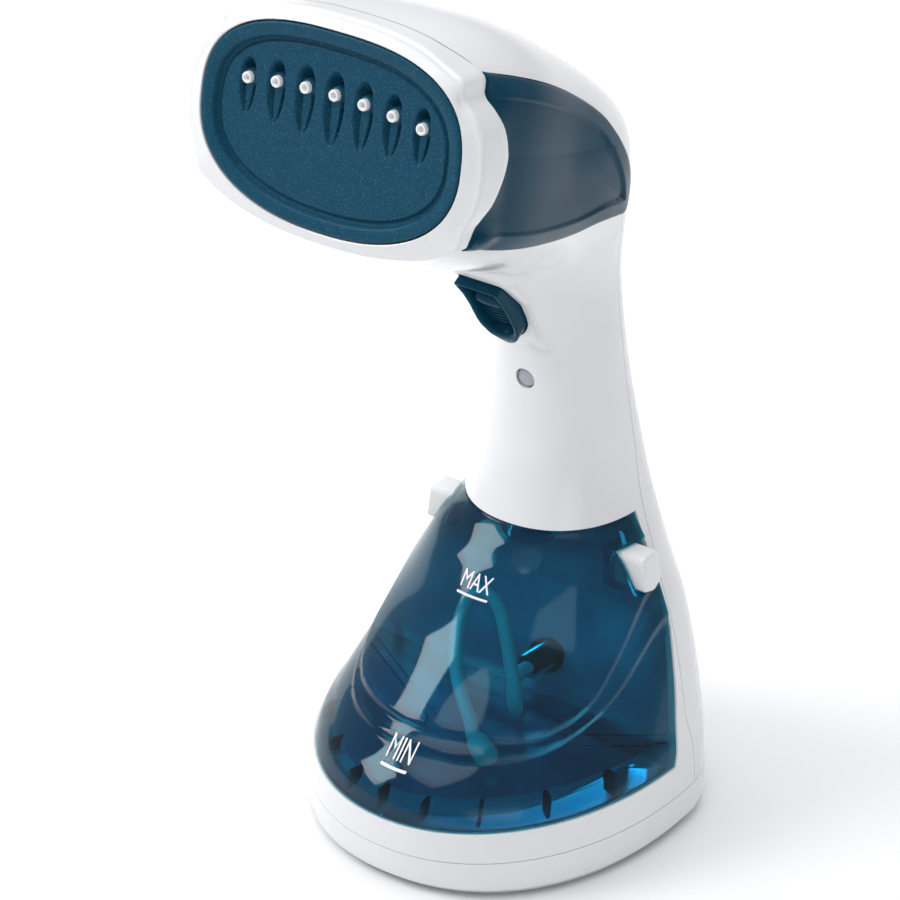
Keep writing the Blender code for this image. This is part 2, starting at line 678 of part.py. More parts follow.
def build_electrics(materials):
    """Indicator, board, terminal block and cord inlet."""
    turned("indicator_lens", (0, 38.6 * MM, 136 * MM), (0, 1, 0), [(0, 2.2), (0.6, 2.6), (3.0, 2.6)],
           materials["lens"])
    turned("indicator_led", (0, 41.9 * MM, 136 * MM), (0, 1, 0), [(0, 1.2), (0.9, 1.6), (1.4, 1.6)],
           materials["lens"], 12)
    board = box("circuit_board", (-9, 43.6, 111), (9, 45.2, 149), materials["board"])
    cut(board, box("cut_board_notch", (6.5, 43, 111 - 1), (10, 46, 118)))
    block = box("terminal_block", (-28, 44, 4.1), (-10, 54, 16), materials["natural"])
    for index in range(3):
        name = "cut_terminal_screw_%d" % (index + 1)
        place = ((-25 + 6 * index) * MM, 49 * MM, 12 * MM)
        cut(block, turned(name, place, (0, 0, 1), [(0, 1.9), (6, 1.9)], sides=12))
    clamp = box("cable_clamp", (-9, 58, 4.1), (9, 64, 12), materials["natural"])
    cut(clamp, turned("cut_clamp_groove", (0, 50 * MM, 13 * MM), (0, 1, 0), [(0, 3.9), (20, 3.9)], sides=16))
    end = GLAND_LENGTH / MM
    gland = [(0, 3.7), (0, 5.7), (7.8, 5.7), (7.8, 7.6), (9.4, 7.2), (end, 5.4), (end, 3.7)]
    turned_ring("cord_gland", (0, GLAND_Y, 24 * MM), (0, 1, 0), gland, materials["seal"])


def build_water_path(materials):
    """Pump, its bracket, the tank socket and both hoses."""
    start = (-22 * MM, PUMP_CENTRE[1], PUMP_CENTRE[2])
    pump = [(0, 2.4), (6, 2.4), (6, 8.0), (9, 9.5), (35, 9.5), (38, 7.0), (44, 7.0)]
    turned("pump", start, (1, 0, 0), pump, materials["dark"], 20)
    bracket = box("pump_bracket", (9.8, 57, 4.1), (17.8, 72, 56), materials["natural"])
    cut(bracket, turned("cut_pump_seat", start, (1, 0, 0), [(0, 9.9), (60, 9.9)], sides=20))
    cut(bracket, box("cut_bracket_arch", (9, 60.5, 8), (19, 68.5, 42)))
    socket = [(0, 4.4), (0, 5.2), (3.5, 5.2), (3.5, 7.0), (5.5, 7.0), (5.5, 3.0), (9.4, 3.0),
              (9.4, 1.6), (4.6, 1.6), (4.6, 4.4)]
    turned_ring("inlet_socket", (VALVE_X, 45.5 * MM, VALVE_Z), (0, 1, 0), socket, materials["seal"], 16)
    tube("feed_hose", [(4.0, 55.7, 38.0), (4.0, 59.5, 38.0), (-4.0, 66.0, 37.0), (-20.0, 68.0, 40.0),
                       (-29.5, 66.0, 50.0), (-28.0, 65.0, 59.0), (-22.4, 65.0, 60.0)],
         2.2 * MM, materials["hose"], 8, 3)
    cx, cy, cz = [c / MM for c in PUMP_CENTRE]
    chamber_end = [c / MM for c in face_point(0, 2 * MM, 18.6 * MM)]
    before_end = [c / MM for c in face_point(0, 2 * MM, 30 * MM)]
    tube("riser_hose", [(cx, cy, cz + 9.9), (cx, cy, 80.0), (0, 61.5, 120.0), (0, 61.5, 160.0),
                        (0, 58.0, 190.0), (0, 40.0, 216.0), (0, 10.0, 236.0), before_end, chamber_end],
         2.0 * MM, materials["hose"], 8, 3)


# ---- tank -----------------------------------------------------------------------------


def build_skirt_room():
    """Hollow under the tank's floor, open downwards."""
    room = skin("cut_skirt_room", TANK_SETBACK + TANK_WALL, 1, 5, 2, 28)
    top = (TANK_FLOOR_Z - TANK_WALL) / MM
    side = [(-70, 20), (26.0, 20), (30.0, 24.0), (33.6, top), (-70, top)]
    return keep(room, prism_x("cut_skirt_side", side, 0.1))


def build_tank(materials):
    """Water tank with filler plug, outlet spout, hose, weight and two latches."""
    tank = skin("water_tank", TANK_SETBACK, 1, 8, material=materials["tank"])
    keep(tank, prism_x("cut_tank_space", bay_outline(-GAP / MM), 0.1))
    cavity = skin("cut_tank_cavity", TANK_SETBACK + TANK_WALL, 1, 8, 2, 28)
    keep(cavity, prism_x("cut_tank_inside", bay_outline(-GAP / MM - TANK_WALL / MM), 0.1))
    cut(cavity, box("cut_tank_floor", (-90, -90, 20), (90, 90, TANK_FLOOR_Z / MM)))
    ly, lz = LATCH_Y / MM, LATCH_Z / MM
    for side, sign in (("left", -1), ("right", 1)):
        xs = sorted((sign * 22.0, sign * 70.0))
        cut(cavity, box("cut_latch_wall_" + side, (xs[0], ly - 7.2, lz - 8.6), (xs[1], ly + 30, lz + 30)))
    cut(tank, build_skirt_room(), cavity)
    for side, sign in (("left", -1), ("right", 1)):
        xs = sorted((sign * 24.2, sign * 70.0))
        cut(tank, box("cut_latch_pocket_" + side, (xs[0], ly - 5.2, lz - 6.6), (xs[1], ly + 5.2, lz + 6.6)))
    filler = turned("cut_filler", (0, PLUG_Y, 80 * MM), (0, 0, 1), [(0, 6.4), (20, 6.4)])
    outlet = turned("cut_outlet", (VALVE_X, 34 * MM, VALVE_Z), (0, 1, 0), [(0, 4.3), (20, 4.3)], sides=16)
    cut(tank, filler, outlet)
    plug = [(0, 5.2), (1.0, 6.1), (6.0, 6.1), (6.0, 5.0), (7.4, 5.0)]
    turned("filler_plug", (0, PLUG_Y, 84.0 * MM), (0, 0, 1), plug, materials["seal"])
    spout = [(0, 1.8), (0, 3.2), (4.6, 3.2), (4.6, 4.0), (14.4, 4.0), (14.4, 1.8)]
    turned_ring("tank_spout", (VALVE_X, 34.6 * MM, VALVE_Z), (0, 1, 0), spout, materials["seal"], 16)
    hose = [(4.0, 34.2, 38.0), (4.6, 27.0, 38.0), (10.0, 17.5, 38.0), (15.8, 10.5, 40.5), (17.2, 8.0, 46.5),
            (14.6, 10.0, 54.0), (9.0, 15.5, 61.5), (3.5, 20.5, 66.8), (-2.0, 21.5, 69.6), (-7.0, 20.0, 65.5),
            (-6.6, 14.5, 57.0), (-2.5, 7.5, 48.5), (3.5, 1.5, 44.0), (7.4, -1.4, 41.6), (10.1, -3.4, 38.5),
            (12.0, -4.7, 37.2)]
    tube("suction_hose", hose, 2.0 * MM, materials["teal"], 8, 2)
    weight = [(0, 2.6), (0.8, 3.6), (8.5, 3.6), (9.5, 2.8)]
    turned("hose_weight", (12.8 * MM, -5.2 * MM, 37.2 * MM), (0.82, -0.57, 0), weight, materials["seal"], 16)
    for side, sign in (("left", -1), ("right", 1)):
        build_latch(side, sign, materials)


def build_latch(side, sign, materials):
    """Press-in latch button with its spring, in a pocket of the tank."""
    ly, lz = LATCH_Y / MM, LATCH_Z / MM
    outline = [(-4.7, 5.9), (4.7, 5.9), (4.7, -4.0), (0.6, -6.1), (-3.2, -5.2), (-4.7, -3.6)]
    loops = []
    for x, shrink in ((28.0, 1.0), (38.6, 1.0), (39.6, 0.86)):
        loops.append([(sign * x * MM, (ly + shrink * y) * MM, (lz + shrink * z) * MM) for y, z in outline])
    stack("latch_" + side, loops, materials["white"])
    coil("latch_spring_" + side, (sign * 24.5 * MM, LATCH_Y, LATCH_Z), (sign, 0, 0), 3.3 * MM, 2.6 * MM,
         0.3 * MM, 3, materials["steel"])


# ---- feet and fasteners ---------------------------------------------------------------

FEET = ((-38.0, 48.0), (38.0, 48.0), (-32.0, -6.0), (32.0, -6.0))
BASE_SCREWS = ((-31.0, 62.0), (31.0, 62.0), (-20.0, -20.0), (20.0, -20.0))
COVER_SCREWS = ((78.6, 72.0), (75.4, 118.0))


def build_feet_and_screws(materials):
    """Rubber feet, base screws and cover screws."""
    for index, (x, y) in enumerate(FEET):
        turned("foot_%d" % (index + 1), (x * MM, y * MM, 0), (0, 0, 1),
               [(0, 5.2), (0.5, 5.8), (FOOT_HEIGHT / MM, 5.8)], materials["seal"], 20)
    for index, (x, y) in enumerate(BASE_SCREWS):
        turned("base_screw_%d" % (index + 1), (x * MM, y * MM, 0.25 * MM), (0, 0, 1),
               [(0, 2.4), (0.6, 3.0), (0.6, 1.4), (10.0, 1.3), (11.5, 0.4)], materials["steel"], 12)
    for index, (y, z) in enumerate(COVER_SCREWS):
        turned("cover_screw_%d" % (index + 1), (0, y * MM, z * MM), (0, -1, 0),
               [(0, 2.6), (0.8, 3.3), (2.0, 3.3), (2.0, 1.4), (7.5, 1.3), (9.0, 0.4)], materials["steel"], 12)


def centre_on_base():
    """Move everything so that the origin is the bottom centre of the whole steamer."""
    front = face_point(0, PLATE_CENTRE_V - PLATE_HALF_HEIGHT, -PLATE_PROUD)[1]
    rear = GLAND_Y + GLAND_LENGTH
    for item in bpy.data.objects:
        item.location.y = -0.5 * (front + rear)


def build_all():
    """Build the whole steamer."""
    for item in list(bpy.data.objects):
        bpy.data.objects.remove(item, do_unlink=True)
    materials = {
        "white": make_material("white_gloss_plastic", WHITE, 0.25),
        "blue": make_material("petrol_gloss_plastic", PETROL, 0.18),
        "plate": make_material("petrol_ceramic_coating", (0.012, 0.11, 0.19, 1.0), 0.35, 0.4),
        "tank": make_material("petrol_clear_plastic", PETROL, 0.06, 0.0, 0.6),
        "teal": make_material("teal_silicone", TEAL, 0.4),
        "cast": make_material("cast_aluminium", (0.62, 0.63, 0.65, 1.0), 0.5, 0.9),
        "steel": make_material("steel", (0.66, 0.67, 0.69, 1.0), 0.3, 1.0),
        "brass": make_material("brass", (0.72, 0.55, 0.26, 1.0), 0.3, 1.0),
        "seal": make_material("grey_rubber", (0.10, 0.10, 0.11, 1.0), 0.7),
        "dark": make_material("black_plastic", (0.03, 0.03, 0.035, 1.0), 0.45),
        "natural": make_material("natural_plastic", (0.70, 0.70, 0.68, 1.0), 0.5),
        "board": make_material("board_green", (0.03, 0.20, 0.09, 1.0), 0.5),
        "lens": make_material("smoked_lens", (0.45, 0.46, 0.50, 1.0), 0.2),
        "hose": make_material("clear_silicone", (0.75, 0.78, 0.78, 1.0), 0.35),
    }
    cutters = build_cutters()
    build_front_shell(cutters, materials["white"])
    build_rear_cover(cutters, materials["white"])
    build_base_cup(cutters, materials["white"])
    build_bezel(cutters, materials["white"])
    build_side_panel("left", -1, cutters, materials["blue"])
    build_side_panel("right", 1, cutters, materials["blue"])
    build_soleplate(materials["plate"])
    build_nozzles(materials["white"])
    build_steam_chamber(materials)
    build_trigger(materials)
    build_electrics(materials)
    build_water_path(materials)
    build_tank(materials)
    build_feet_and_screws(materials)
    centre_on_base()


build_all()
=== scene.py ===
"""Looks of a hand-held garment steamer: white housing, translucent tank, coated steam plate.

Shapes are worked out in mm in a drawing frame. Its X and Z are the part's, and its Y is the
part's plus a shift that is read from the cord gland. Every surface follows the same skin: a
loft whose stations fan round from the level base, up the neck and forward into the head.
"""

import json
import math

import bmesh
import bpy
import numpy as np
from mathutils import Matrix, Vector

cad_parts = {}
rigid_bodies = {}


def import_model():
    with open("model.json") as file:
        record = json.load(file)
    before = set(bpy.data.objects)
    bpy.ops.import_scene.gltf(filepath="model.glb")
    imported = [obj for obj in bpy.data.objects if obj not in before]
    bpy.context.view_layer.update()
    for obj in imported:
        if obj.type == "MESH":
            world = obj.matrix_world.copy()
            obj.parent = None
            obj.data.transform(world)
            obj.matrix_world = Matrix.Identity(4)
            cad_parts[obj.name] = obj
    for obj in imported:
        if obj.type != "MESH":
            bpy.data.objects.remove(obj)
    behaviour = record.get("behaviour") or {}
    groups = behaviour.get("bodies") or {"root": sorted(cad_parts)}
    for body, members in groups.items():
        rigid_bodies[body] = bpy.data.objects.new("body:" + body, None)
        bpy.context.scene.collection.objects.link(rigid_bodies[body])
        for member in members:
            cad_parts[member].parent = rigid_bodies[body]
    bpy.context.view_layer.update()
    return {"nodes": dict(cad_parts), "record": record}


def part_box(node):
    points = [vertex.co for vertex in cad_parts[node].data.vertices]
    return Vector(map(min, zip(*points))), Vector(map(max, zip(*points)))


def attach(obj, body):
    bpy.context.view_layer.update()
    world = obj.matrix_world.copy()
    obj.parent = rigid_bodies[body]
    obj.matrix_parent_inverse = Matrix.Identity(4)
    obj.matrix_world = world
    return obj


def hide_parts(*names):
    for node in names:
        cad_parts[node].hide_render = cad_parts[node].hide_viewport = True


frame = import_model()
nodes = frame["nodes"]

MM = 0.001
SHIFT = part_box("cord_gland")[1].y / MM - 82.2

# ---- driving dimensions (mm) ----------------------------------------------------------

WALL = 2.4
GAP = 0.3
PARTING_Z = 13.0
BAY_FLOOR_Z = 22.6
BAY_TOP_Z = 92.0
TANK_FLOOR_Z = 31.0
TANK_SETBACK = 0.5
TANK_WALL = 2.0
TANK_TOP_ROLL = 0.9
SEAM_GAP = 0.22
LEAF_GAP = 0.25

FACE_TILT = math.radians(10.9)
FACE_Y = -52.45
FACE_Z = 259.6
FACE_TOP = 21.3
FACE_BOTTOM = -40.7
FACE_MIDDLE = 0.5 * (FACE_TOP + FACE_BOTTOM)

PLATE_HALF_WIDTH = 41.4
PLATE_HALF_HEIGHT = 26.9
PLATE_MIDDLE = -9.7
PLATE_RIM = -2.1
NOZZLE_COUNT = 7
NOZZLE_PITCH = 9.3
NOZZLE_V = 0.35
NOZZLE_DROOP = 0.22

TRIGGER_Y = 18.0
TRIGGER_Z = 166.8
TRIGGER_TILT = math.radians(26.0)

# Front y, z, rear y, z, half-width, front exponent, rear exponent, place of the widest point.
STATIONS = (
    (-33.0, 1.2, 73.5, 1.2, 56.4, 2.2, 2.2, 0.68),
    (-36.2, 6.0, 76.5, 6.0, 58.8, 2.15, 2.2, 0.68),
    (-36.4, 24.0, 78.4, 24.0, 56.9, 2.05, 2.2, 0.68),
    (-32.0, 33.0, 79.2, 33.0, 53.6, 1.9, 2.45, 0.67),
    (-16.7, 44.0, 79.6, 46.0, 49.2, 1.82, 2.55, 0.65),
    (2.2, 59.4, 79.4, 62.0, 42.6, 1.8, 2.65, 0.63),
    (13.8, 73.6, 79.6, 77.0, 35.2, 1.98, 2.5, 0.61),
    (27.2, 91.0, 78.2, 96.0, 27.2, 2.15, 2.48, 0.60),
    (35.8, 112.0, 76.0, 116.6, 22.4, 2.15, 2.4, 0.56),
    (37.0, 136.0, 73.7, 140.8, 19.0, 2.2, 2.35, 0.50),
    (33.0, 157.0, 73.5, 167.0, 16.8, 2.2, 2.3, 0.50),
    (25.2, 172.3, 70.0, 193.0, 20.8, 2.2, 2.6, 0.50),
    (15.0, 181.5, 57.0, 223.0, 27.6, 2.4, 2.8, 0.56),
    (-8.0, 193.0, 20.5, 253.0, 36.3, 2.6, 2.4, 0.50),
    (-32.0, 205.0, -12.0, 271.0, 43.0, 2.8, 2.5, 0.50),
)
LAST = len(STATIONS) + 1

SEAM = (
    (-60.0, 254.0), (-30.0, 242.0), (10.0, 223.0), (36.0, 208.0), (50.0, 197.5),
    (55.5, 188.5), (59.0, 178.0), (61.5, 162.0), (61.5, 110.0), (57.8, 82.0),
    (51.7, 55.0), (45.8, 34.0), (44.0, 10.0),
)
BAY_REAR = ((35.0, 22.6), (39.6, 31.0), (44.4, 41.5), (51.6, 59.0), (54.6, 76.0), (55.4, 92.0))
LEAF = (
    (-50.0, 275.3), (-30.0, 266.7), (-20.2, 262.2), (-7.8, 255.8), (6.4, 247.5), (19.2, 239.0),
    (29.5, 231.0), (36.7, 223.3), (43.4, 215.4), (50.2, 206.7), (55.6, 198.6), (58.0, 192.8),
    (57.6, 189.4), (54.5, 188.6), (49.9, 190.2), (34.5, 195.2), (17.8, 199.4), (0.9, 205.0),
    (-16.0, 211.3), (-32.6, 218.1), (-44.3, 223.4), (-64.0, 233.7),
)
LEAF_CREASE = (
    (-41.0, 249.8), (-30.8, 245.1), (-9.0, 236.1), (11.5, 227.3), (26.6, 222.6), (36.0, 219.6),
)
BOW = (
    (8.4, 40.0), (8.4, 24.0), (8.8, 21.0), (9.8, 18.0), (12.4, 14.8), (12.8, 12.6), (11.6, 9.6),
    (11.2, 7.5), (11.8, 4.5), (13.0, 1.2), (13.7, -3.5), (13.9, -7.1), (12.6, -10.2),
    (10.4, -14.4), (8.3, -18.9), (6.4, -22.2), (5.2, -24.8), (4.8, -28.0), (5.1, -31.2),
    (5.1, -60.0),
)
RIM_OUTLINE = (
    (0.0, 21.3), (12.0, 20.9), (24.0, 19.0), (31.5, 16.0), (37.2, 13.4), (38.3, 11.4),
    (38.8, 8.2), (42.6, 4.6), (45.6, -0.4), (46.9, -6.4), (47.2, -12.0), (46.4, -18.4),
    (44.8, -22.6), (43.6, -25.4), (42.6, -29.6), (41.2, -31.4), (35.6, -34.6),
    (30.0, -36.8), (20.0, -39.2), (10.0, -40.4), (0.0, -40.7),
)
TONGUE = ((0.0, 43.8), (20.0, 43.1), (29.0, 43.1), (35.0, 44.6), (38.0, 48.6), (38.4, 54.5),
          (37.8, 63.5), (36.2, 73.0), (34.0, 82.0), (31.5, 95.0))


# ---- the skin -------------------------------------------------------------------------


def face_point(x, v, d):
    """Point of the plate's frame: v up the face, d straight into the head."""
    x, v, d = np.broadcast_arrays(np.asarray(x, float), np.asarray(v, float), np.asarray(d, float))
    y = FACE_Y + v * math.sin(FACE_TILT) + d * math.cos(FACE_TILT)
    z = FACE_Z + v * math.cos(FACE_TILT) - d * math.sin(FACE_TILT)
    return np.stack([x, y, z], -1)


def face_coordinates(points):
    """The x, v and d of points in the plate's frame."""
    y, z = points[..., 1] - FACE_Y, points[..., 2] - FACE_Z
    v = y * math.sin(FACE_TILT) + z * math.cos(FACE_TILT)
    d = y * math.cos(FACE_TILT) - z * math.sin(FACE_TILT)
    return points[..., 0], v, d


def trigger_point(x, t, a):
    """Point of the trigger's frame: t up its face, a outwards from its face."""
    x, t, a = np.broadcast_arrays(np.asarray(x, float), np.asarray(t, float), np.asarray(a, float))
    y = TRIGGER_Y - t * math.sin(TRIGGER_TILT) - a * math.cos(TRIGGER_TILT)
    z = TRIGGER_Z + t * math.cos(TRIGGER_TILT) - a * math.sin(TRIGGER_TILT)
    return np.stack([x, y, z], -1)


def padded_stations():
    """Stations with the two head-end rows, and one row beyond each end."""
    rows = [list(row) for row in STATIONS]
    for depth in (5.0, 0.0):
        bottom = face_point(0, FACE_BOTTOM, depth)
        top = face_point(0, FACE_TOP, depth)
        rows.append([bottom[1], bottom[2], top[1], top[2], 45.4, 2.8, 2.6, 0.5])
    rows = np.array(rows)
    return np.vstack([2 * rows[0] - rows[1], rows, 2 * rows[-1] - rows[-2]])


ROWS = padded_stations()


def rows_at(t):
    """Catmull-Rom rows of the skin at station numbers t."""
    t = np.clip(np.asarray(t, float), 0, LAST)
    i = np.minimum(t.astype(int), LAST - 1)
    f = (t - i)[..., None]
    a, b, c, d = ROWS[i], ROWS[i + 1], ROWS[i + 2], ROWS[i + 3]
    return 0.5 * (2 * b + (c - a) * f + (2 * a - 5 * b + 4 * c - d) * f ** 2
                  + (-a + 3 * b - 3 * c + d) * f ** 3)


def skin(t, turn, inset=0.0):
    """Points of the skin: turn runs round a section, from 0 at the front to pi at the rear."""
    t, turn = np.broadcast_arrays(np.asarray(t, float), np.asarray(turn, float))
    row = rows_at(t)
    length = np.hypot(row[..., 2] - row[..., 0], row[..., 3] - row[..., 1])
    c, s = np.cos(turn), np.sin(turn)
    power = np.where(c > 0, row[..., 5], row[..., 6])
    radius = (np.abs(c) ** power + np.abs(s) ** power) ** (-1 / power)
    reach, side = np.abs(c) * radius, s * radius
    widest = row[..., 7]
    share = np.where(c > 0, widest - widest * reach, widest + (1 - widest) * reach)
    share = (inset + share * (length - 2 * inset)) / length
    y = row[..., 0] + (row[..., 2] - row[..., 0]) * share
    z = row[..., 1] + (row[..., 3] - row[..., 1]) * share
    return np.stack([(row[..., 4] - inset) * side, y, z], -1)


def unit(vectors):
    """Vectors scaled to length one."""
    return vectors / np.maximum(np.linalg.norm(vectors, axis=-1, keepdims=True), 1e-12)


def solve(rising, low, high, shape):
    """Bisect for the root of a rising function."""
    low, high = np.full(shape, float(low)), np.full(shape, float(high))
    for _ in range(32):
        middle = 0.5 * (low + high)
        below = rising(middle) < 0
        low, high = np.where(below, middle, low), np.where(below, high, middle)
    return 0.5 * (low + high)


def skin_at_height(z, turn, inset=0.0):
    """Point of the body's skin at a height."""
    z, turn = np.broadcast_arrays(np.asarray(z, float), np.asarray(turn, float))
    t = solve(lambda t: skin(t, turn, inset)[..., 2] - z, 0, 10, z.shape)
    return skin(t, turn, inset)


def skin_side(y, z, inset=0.0):
    """Half-width of the head's skin over points of the side view."""
    y, z = np.broadcast_arrays(np.asarray(y, float), np.asarray(z, float))

    def beside(t):
        """Which side of a station's line the points lie on."""
        row = rows_at(t)
        rise, run = row[..., 3] - row[..., 1], row[..., 2] - row[..., 0]
        return rise * (y - row[..., 0]) - run * (z - row[..., 1])

    t = solve(beside, 9, LAST, y.shape)
    row = rows_at(t)
    run, rise = row[..., 2] - row[..., 0], row[..., 3] - row[..., 1]
    length = np.hypot(run, rise)
    along = ((y - row[..., 0]) * run + (z - row[..., 1]) * rise) / length
    share = np.clip((along - inset) / (length - 2 * inset), 0.0, 1.0)
    widest = row[..., 7]
    ahead = share < widest
    reach = np.where(ahead, (widest - share) / widest, (share - widest) / (1 - widest))
    power = np.where(ahead, row[..., 5], row[..., 6])
    return (row[..., 4] - inset) * np.maximum(1 - reach ** power, 0.0) ** (1 / power)


def smooth(low, high, value):
    """Smooth step from 0 at low to 1 at high."""
    part = np.clip((value - low) / (high - low), 0.0, 1.0)
    return part * part * (3 - 2 * part)


def boss_front(t):
    """Front of the swelling round the trigger, along the trigger's axis."""
    return np.where(t > -1.0, -0.8 - 0.36 * (12.0 - t), -5.5 + 0.04 * (t + 1.0))


def with_boss(points):
    """Skin points with the swelling of the neck round the trigger."""
    y, z = points[..., 1] - TRIGGER_Y, points[..., 2] - TRIGGER_Z
    t = -y * math.sin(TRIGGER_TILT) + z * math.cos(TRIGGER_TILT)
    a = -y * math.cos(TRIGGER_TILT) - z * math.sin(TRIGGER_TILT)
    beside = np.maximum(np.abs(points[..., 0]) - 7.2, 0.0)
    above = np.maximum(np.maximum(t - 12.0, -17.0 - t), 0.0)
    near = 1 - smooth(0.6, 10.5, np.hypot(beside, above))
    rise = np.maximum(boss_front(np.clip(t, -18.0, 13.0)) - a, 0.0) * near * (a > -30.0)
    return trigger_point(points[..., 0], t, a + rise)


def curve_through(points, per_span, closed=False):
    """Catmull-Rom curve through control points."""
    points = [np.array(p, float) for p in points]
    if closed:
        control = [points[-1]] + points + points[:2]
    else:
        control = [2 * points[0] - points[1]] + points + [2 * points[-1] - points[-2]]
    result = []
    for i in range(len(control) - 3):
        a, b, c, d = control[i:i + 4]
        for step in range(per_span):
            f = step / per_span
            result.append(0.5 * (2 * b + (c - a) * f + (2 * a - 5 * b + 4 * c - d) * f ** 2
                                 + (-a + 3 * b - 3 * c + d) * f ** 3))
    if not closed:
        result.append(control[-2])
    return np.array(result)


def distance_to(points, line):
    """Distance of 2-D points to an open polyline."""
    best = np.full(points.shape[:-1], 1e9)
    for a, b in zip(line[:-1], line[1:]):
        along = b - a
        share = np.clip(((points - a) @ along) / (along @ along), 0.0, 1.0)
        best = np.minimum(best, np.linalg.norm(points - a - share[..., None] * along, axis=-1))
    return best


# ---- mesh helpers ---------------------------------------------------------------------


def piece(name, points, faces, material=None, sharp=40.0):
    """Mesh object from points in mm of the drawing frame."""
    points = np.asarray(points, float).reshape(-1, 3) * MM
    points[:, 1] += SHIFT * MM
    mesh = bpy.data.meshes.new(name)
    mesh.from_pydata(points.tolist(), [], faces)
    work = bmesh.new()
    work.from_mesh(mesh)
    bmesh.ops.remove_doubles(work, verts=work.verts, dist=2e-6)
    bmesh.ops.recalc_face_normals(work, faces=work.faces)
    work.to_mesh(mesh)
    work.free()
    mesh.shade_smooth()
    mesh.set_sharp_from_angle(angle=math.radians(sharp))
    item = bpy.data.objects.new(name, mesh)
    bpy.context.scene.collection.objects.link(item)
    if material:
        mesh.materials.append(material)
    return item


def rings_to_faces(rows, count, capped=True, cyclic=False):
    """Faces between closed rings of points."""
    faces = []
    last = rows if cyclic else rows - 1
    for row in range(last):
        after = (row + 1) % rows
        for i in range(count):
            j = (i + 1) % count
            faces.append((row * count + i, row * count + j, after * count + j, after * count + i))
    if capped and not cyclic:
        faces.append(tuple(range(count)))
        faces.append(tuple((rows - 1) * count + i for i in range(count)))
    return faces


def ringed(name, rings, material=None, cyclic=False, sharp=40.0):
    """Solid from a stack, or a cycle, of equal rings."""
    rings = np.asarray(rings, float)
    return piece(name, rings, rings_to_faces(len(rings), rings.shape[1], True, cyclic), material, sharp)


def prism(name, outline, near=-100.0, far=100.0):
    """Outline of (y, z) points extruded along X."""
    rings = [[(x, y, z) for y, z in outline] for x in (near, far)]
    return ringed(name, rings)


def block(name, low, high, material=None):
    """Box between two corners."""
    corners = [(low[0], low[1]), (high[0], low[1]), (high[0], high[1]), (low[0], high[1])]
    return ringed(name, [[(x, y, z) for x, y in corners] for z in (low[2], high[2])], material)


def turned_rings(start, direction, profile, sides):
    """Rings of a profile of (distance, radius) turned about an axis."""
    axis = Vector(direction).normalized()
    helper = Vector((1, 0, 0)) if abs(axis.x) < 0.9 else Vector((0, 1, 0))
    across = axis.cross(helper).normalized()
    up = axis.cross(across)
    angles = np.linspace(0, 2 * math.pi, sides, endpoint=False)
    circle = np.cos(angles)[:, None] * np.array(across) + np.sin(angles)[:, None] * np.array(up)
    return [np.array(start) + np.array(axis) * along + circle * radius for along, radius in profile]


def turned(name, start, direction, profile, material=None, sides=40, cyclic=False, sharp=35.0):
    """Solid turned about an axis."""
    return ringed(name, turned_rings(start, direction, profile, sides), material, cyclic, sharp)


def swept(name, path, radius, material, sides=20):
    """Round bar along a path, with rounded ends."""
    path = np.asarray(path, float)
    across = None
    rings = []
    for i, point in enumerate(path):
        tangent = unit(path[min(i + 1, len(path) - 1)] - path[max(i - 1, 0)])
        if across is None:
            helper = np.array((1.0, 0, 0)) if abs(tangent[0]) < 0.9 else np.array((0, 1.0, 0))
            across = np.cross(tangent, helper)
        across = unit(across - tangent * (across @ tangent))
        up = np.cross(tangent, across)
        angles = np.linspace(0, 2 * math.pi, sides, endpoint=False)[:, None]
        rings.append(point + radius * (np.cos(angles) * across + np.sin(angles) * up))
    return ringed(name, rings, material)


def cut_to(name, solid, keeps=(), cuts=(), material=None, sharp=38.0):
    """Apply exact Booleans and return the result as a new piece."""
    for operation, cutters in (("INTERSECT", keeps), ("DIFFERENCE", cuts)):
        for cutter in cutters:
            modifier = solid.modifiers.new(operation, "BOOLEAN")
            modifier.operation = operation
            modifier.solver = "EXACT"
            modifier.object = cutter
    bpy.context.view_layer.update()
    graph = bpy.context.evaluated_depsgraph_get()
    mesh = bpy.data.meshes.new_from_object(solid.evaluated_get(graph))
    mesh.name = name
    mesh.materials.clear()
    if material:
        mesh.materials.append(material)
    mesh.shade_smooth()
    mesh.set_sharp_from_angle(angle=math.radians(sharp))
    item = bpy.data.objects.new(name, mesh)
    bpy.context.scene.collection.objects.link(item)
    bpy.data.objects.remove(solid, do_unlink=True)
    return item


def discard(*items):
    """Remove construction solids."""
    for item in items:
        bpy.data.objects.remove(item, do_unlink=True)


def grown(outline, distance):
    """Closed outline moved outwards, its corners mitred."""
    outline = [Vector(p) for p in outline]
    count = len(outline)
    area = sum(outline[i].x * outline[(i + 1) % count].y - outline[(i + 1) % count].x * outline[i].y
               for i in range(count))
    side = 1.0 if area > 0 else -1.0
    result = []
    for i in range(count):
        before = outline[i] - outline[i - 1]
        after = outline[(i + 1) % count] - outline[i]
        first = side * Vector((before.y, -before.x)).normalized()
        second = side * Vector((after.y, -after.x)).normalized()
        mitre = (first + second).normalized()
        result.append(tuple(outline[i] + mitre * distance / max(0.4, mitre.dot(first))))
    return result


# ---- materials ------------------------------------------------------------------------


def new_material(name, roughness=0.3, metallic=0.0, coat=0.0, transmission=0.0, ior=1.47, gleam=0.5):
    """Principled material and its shader, with even settings on the shader's own sockets."""
    material = bpy.data.materials.new(name)
    material.use_nodes = True
    shader = material.node_tree.nodes["Principled BSDF"]
    shader.inputs["Roughness"].default_value = roughness
    shader.inputs["Metallic"].default_value = metallic
    shader.inputs["Coat Weight"].default_value = coat
    shader.inputs["Coat Roughness"].default_value = 0.06
    shader.inputs["Transmission Weight"].default_value = transmission
    shader.inputs["IOR"].default_value = ior
    shader.inputs["Specular IOR Level"].default_value = gleam
    return material, shader


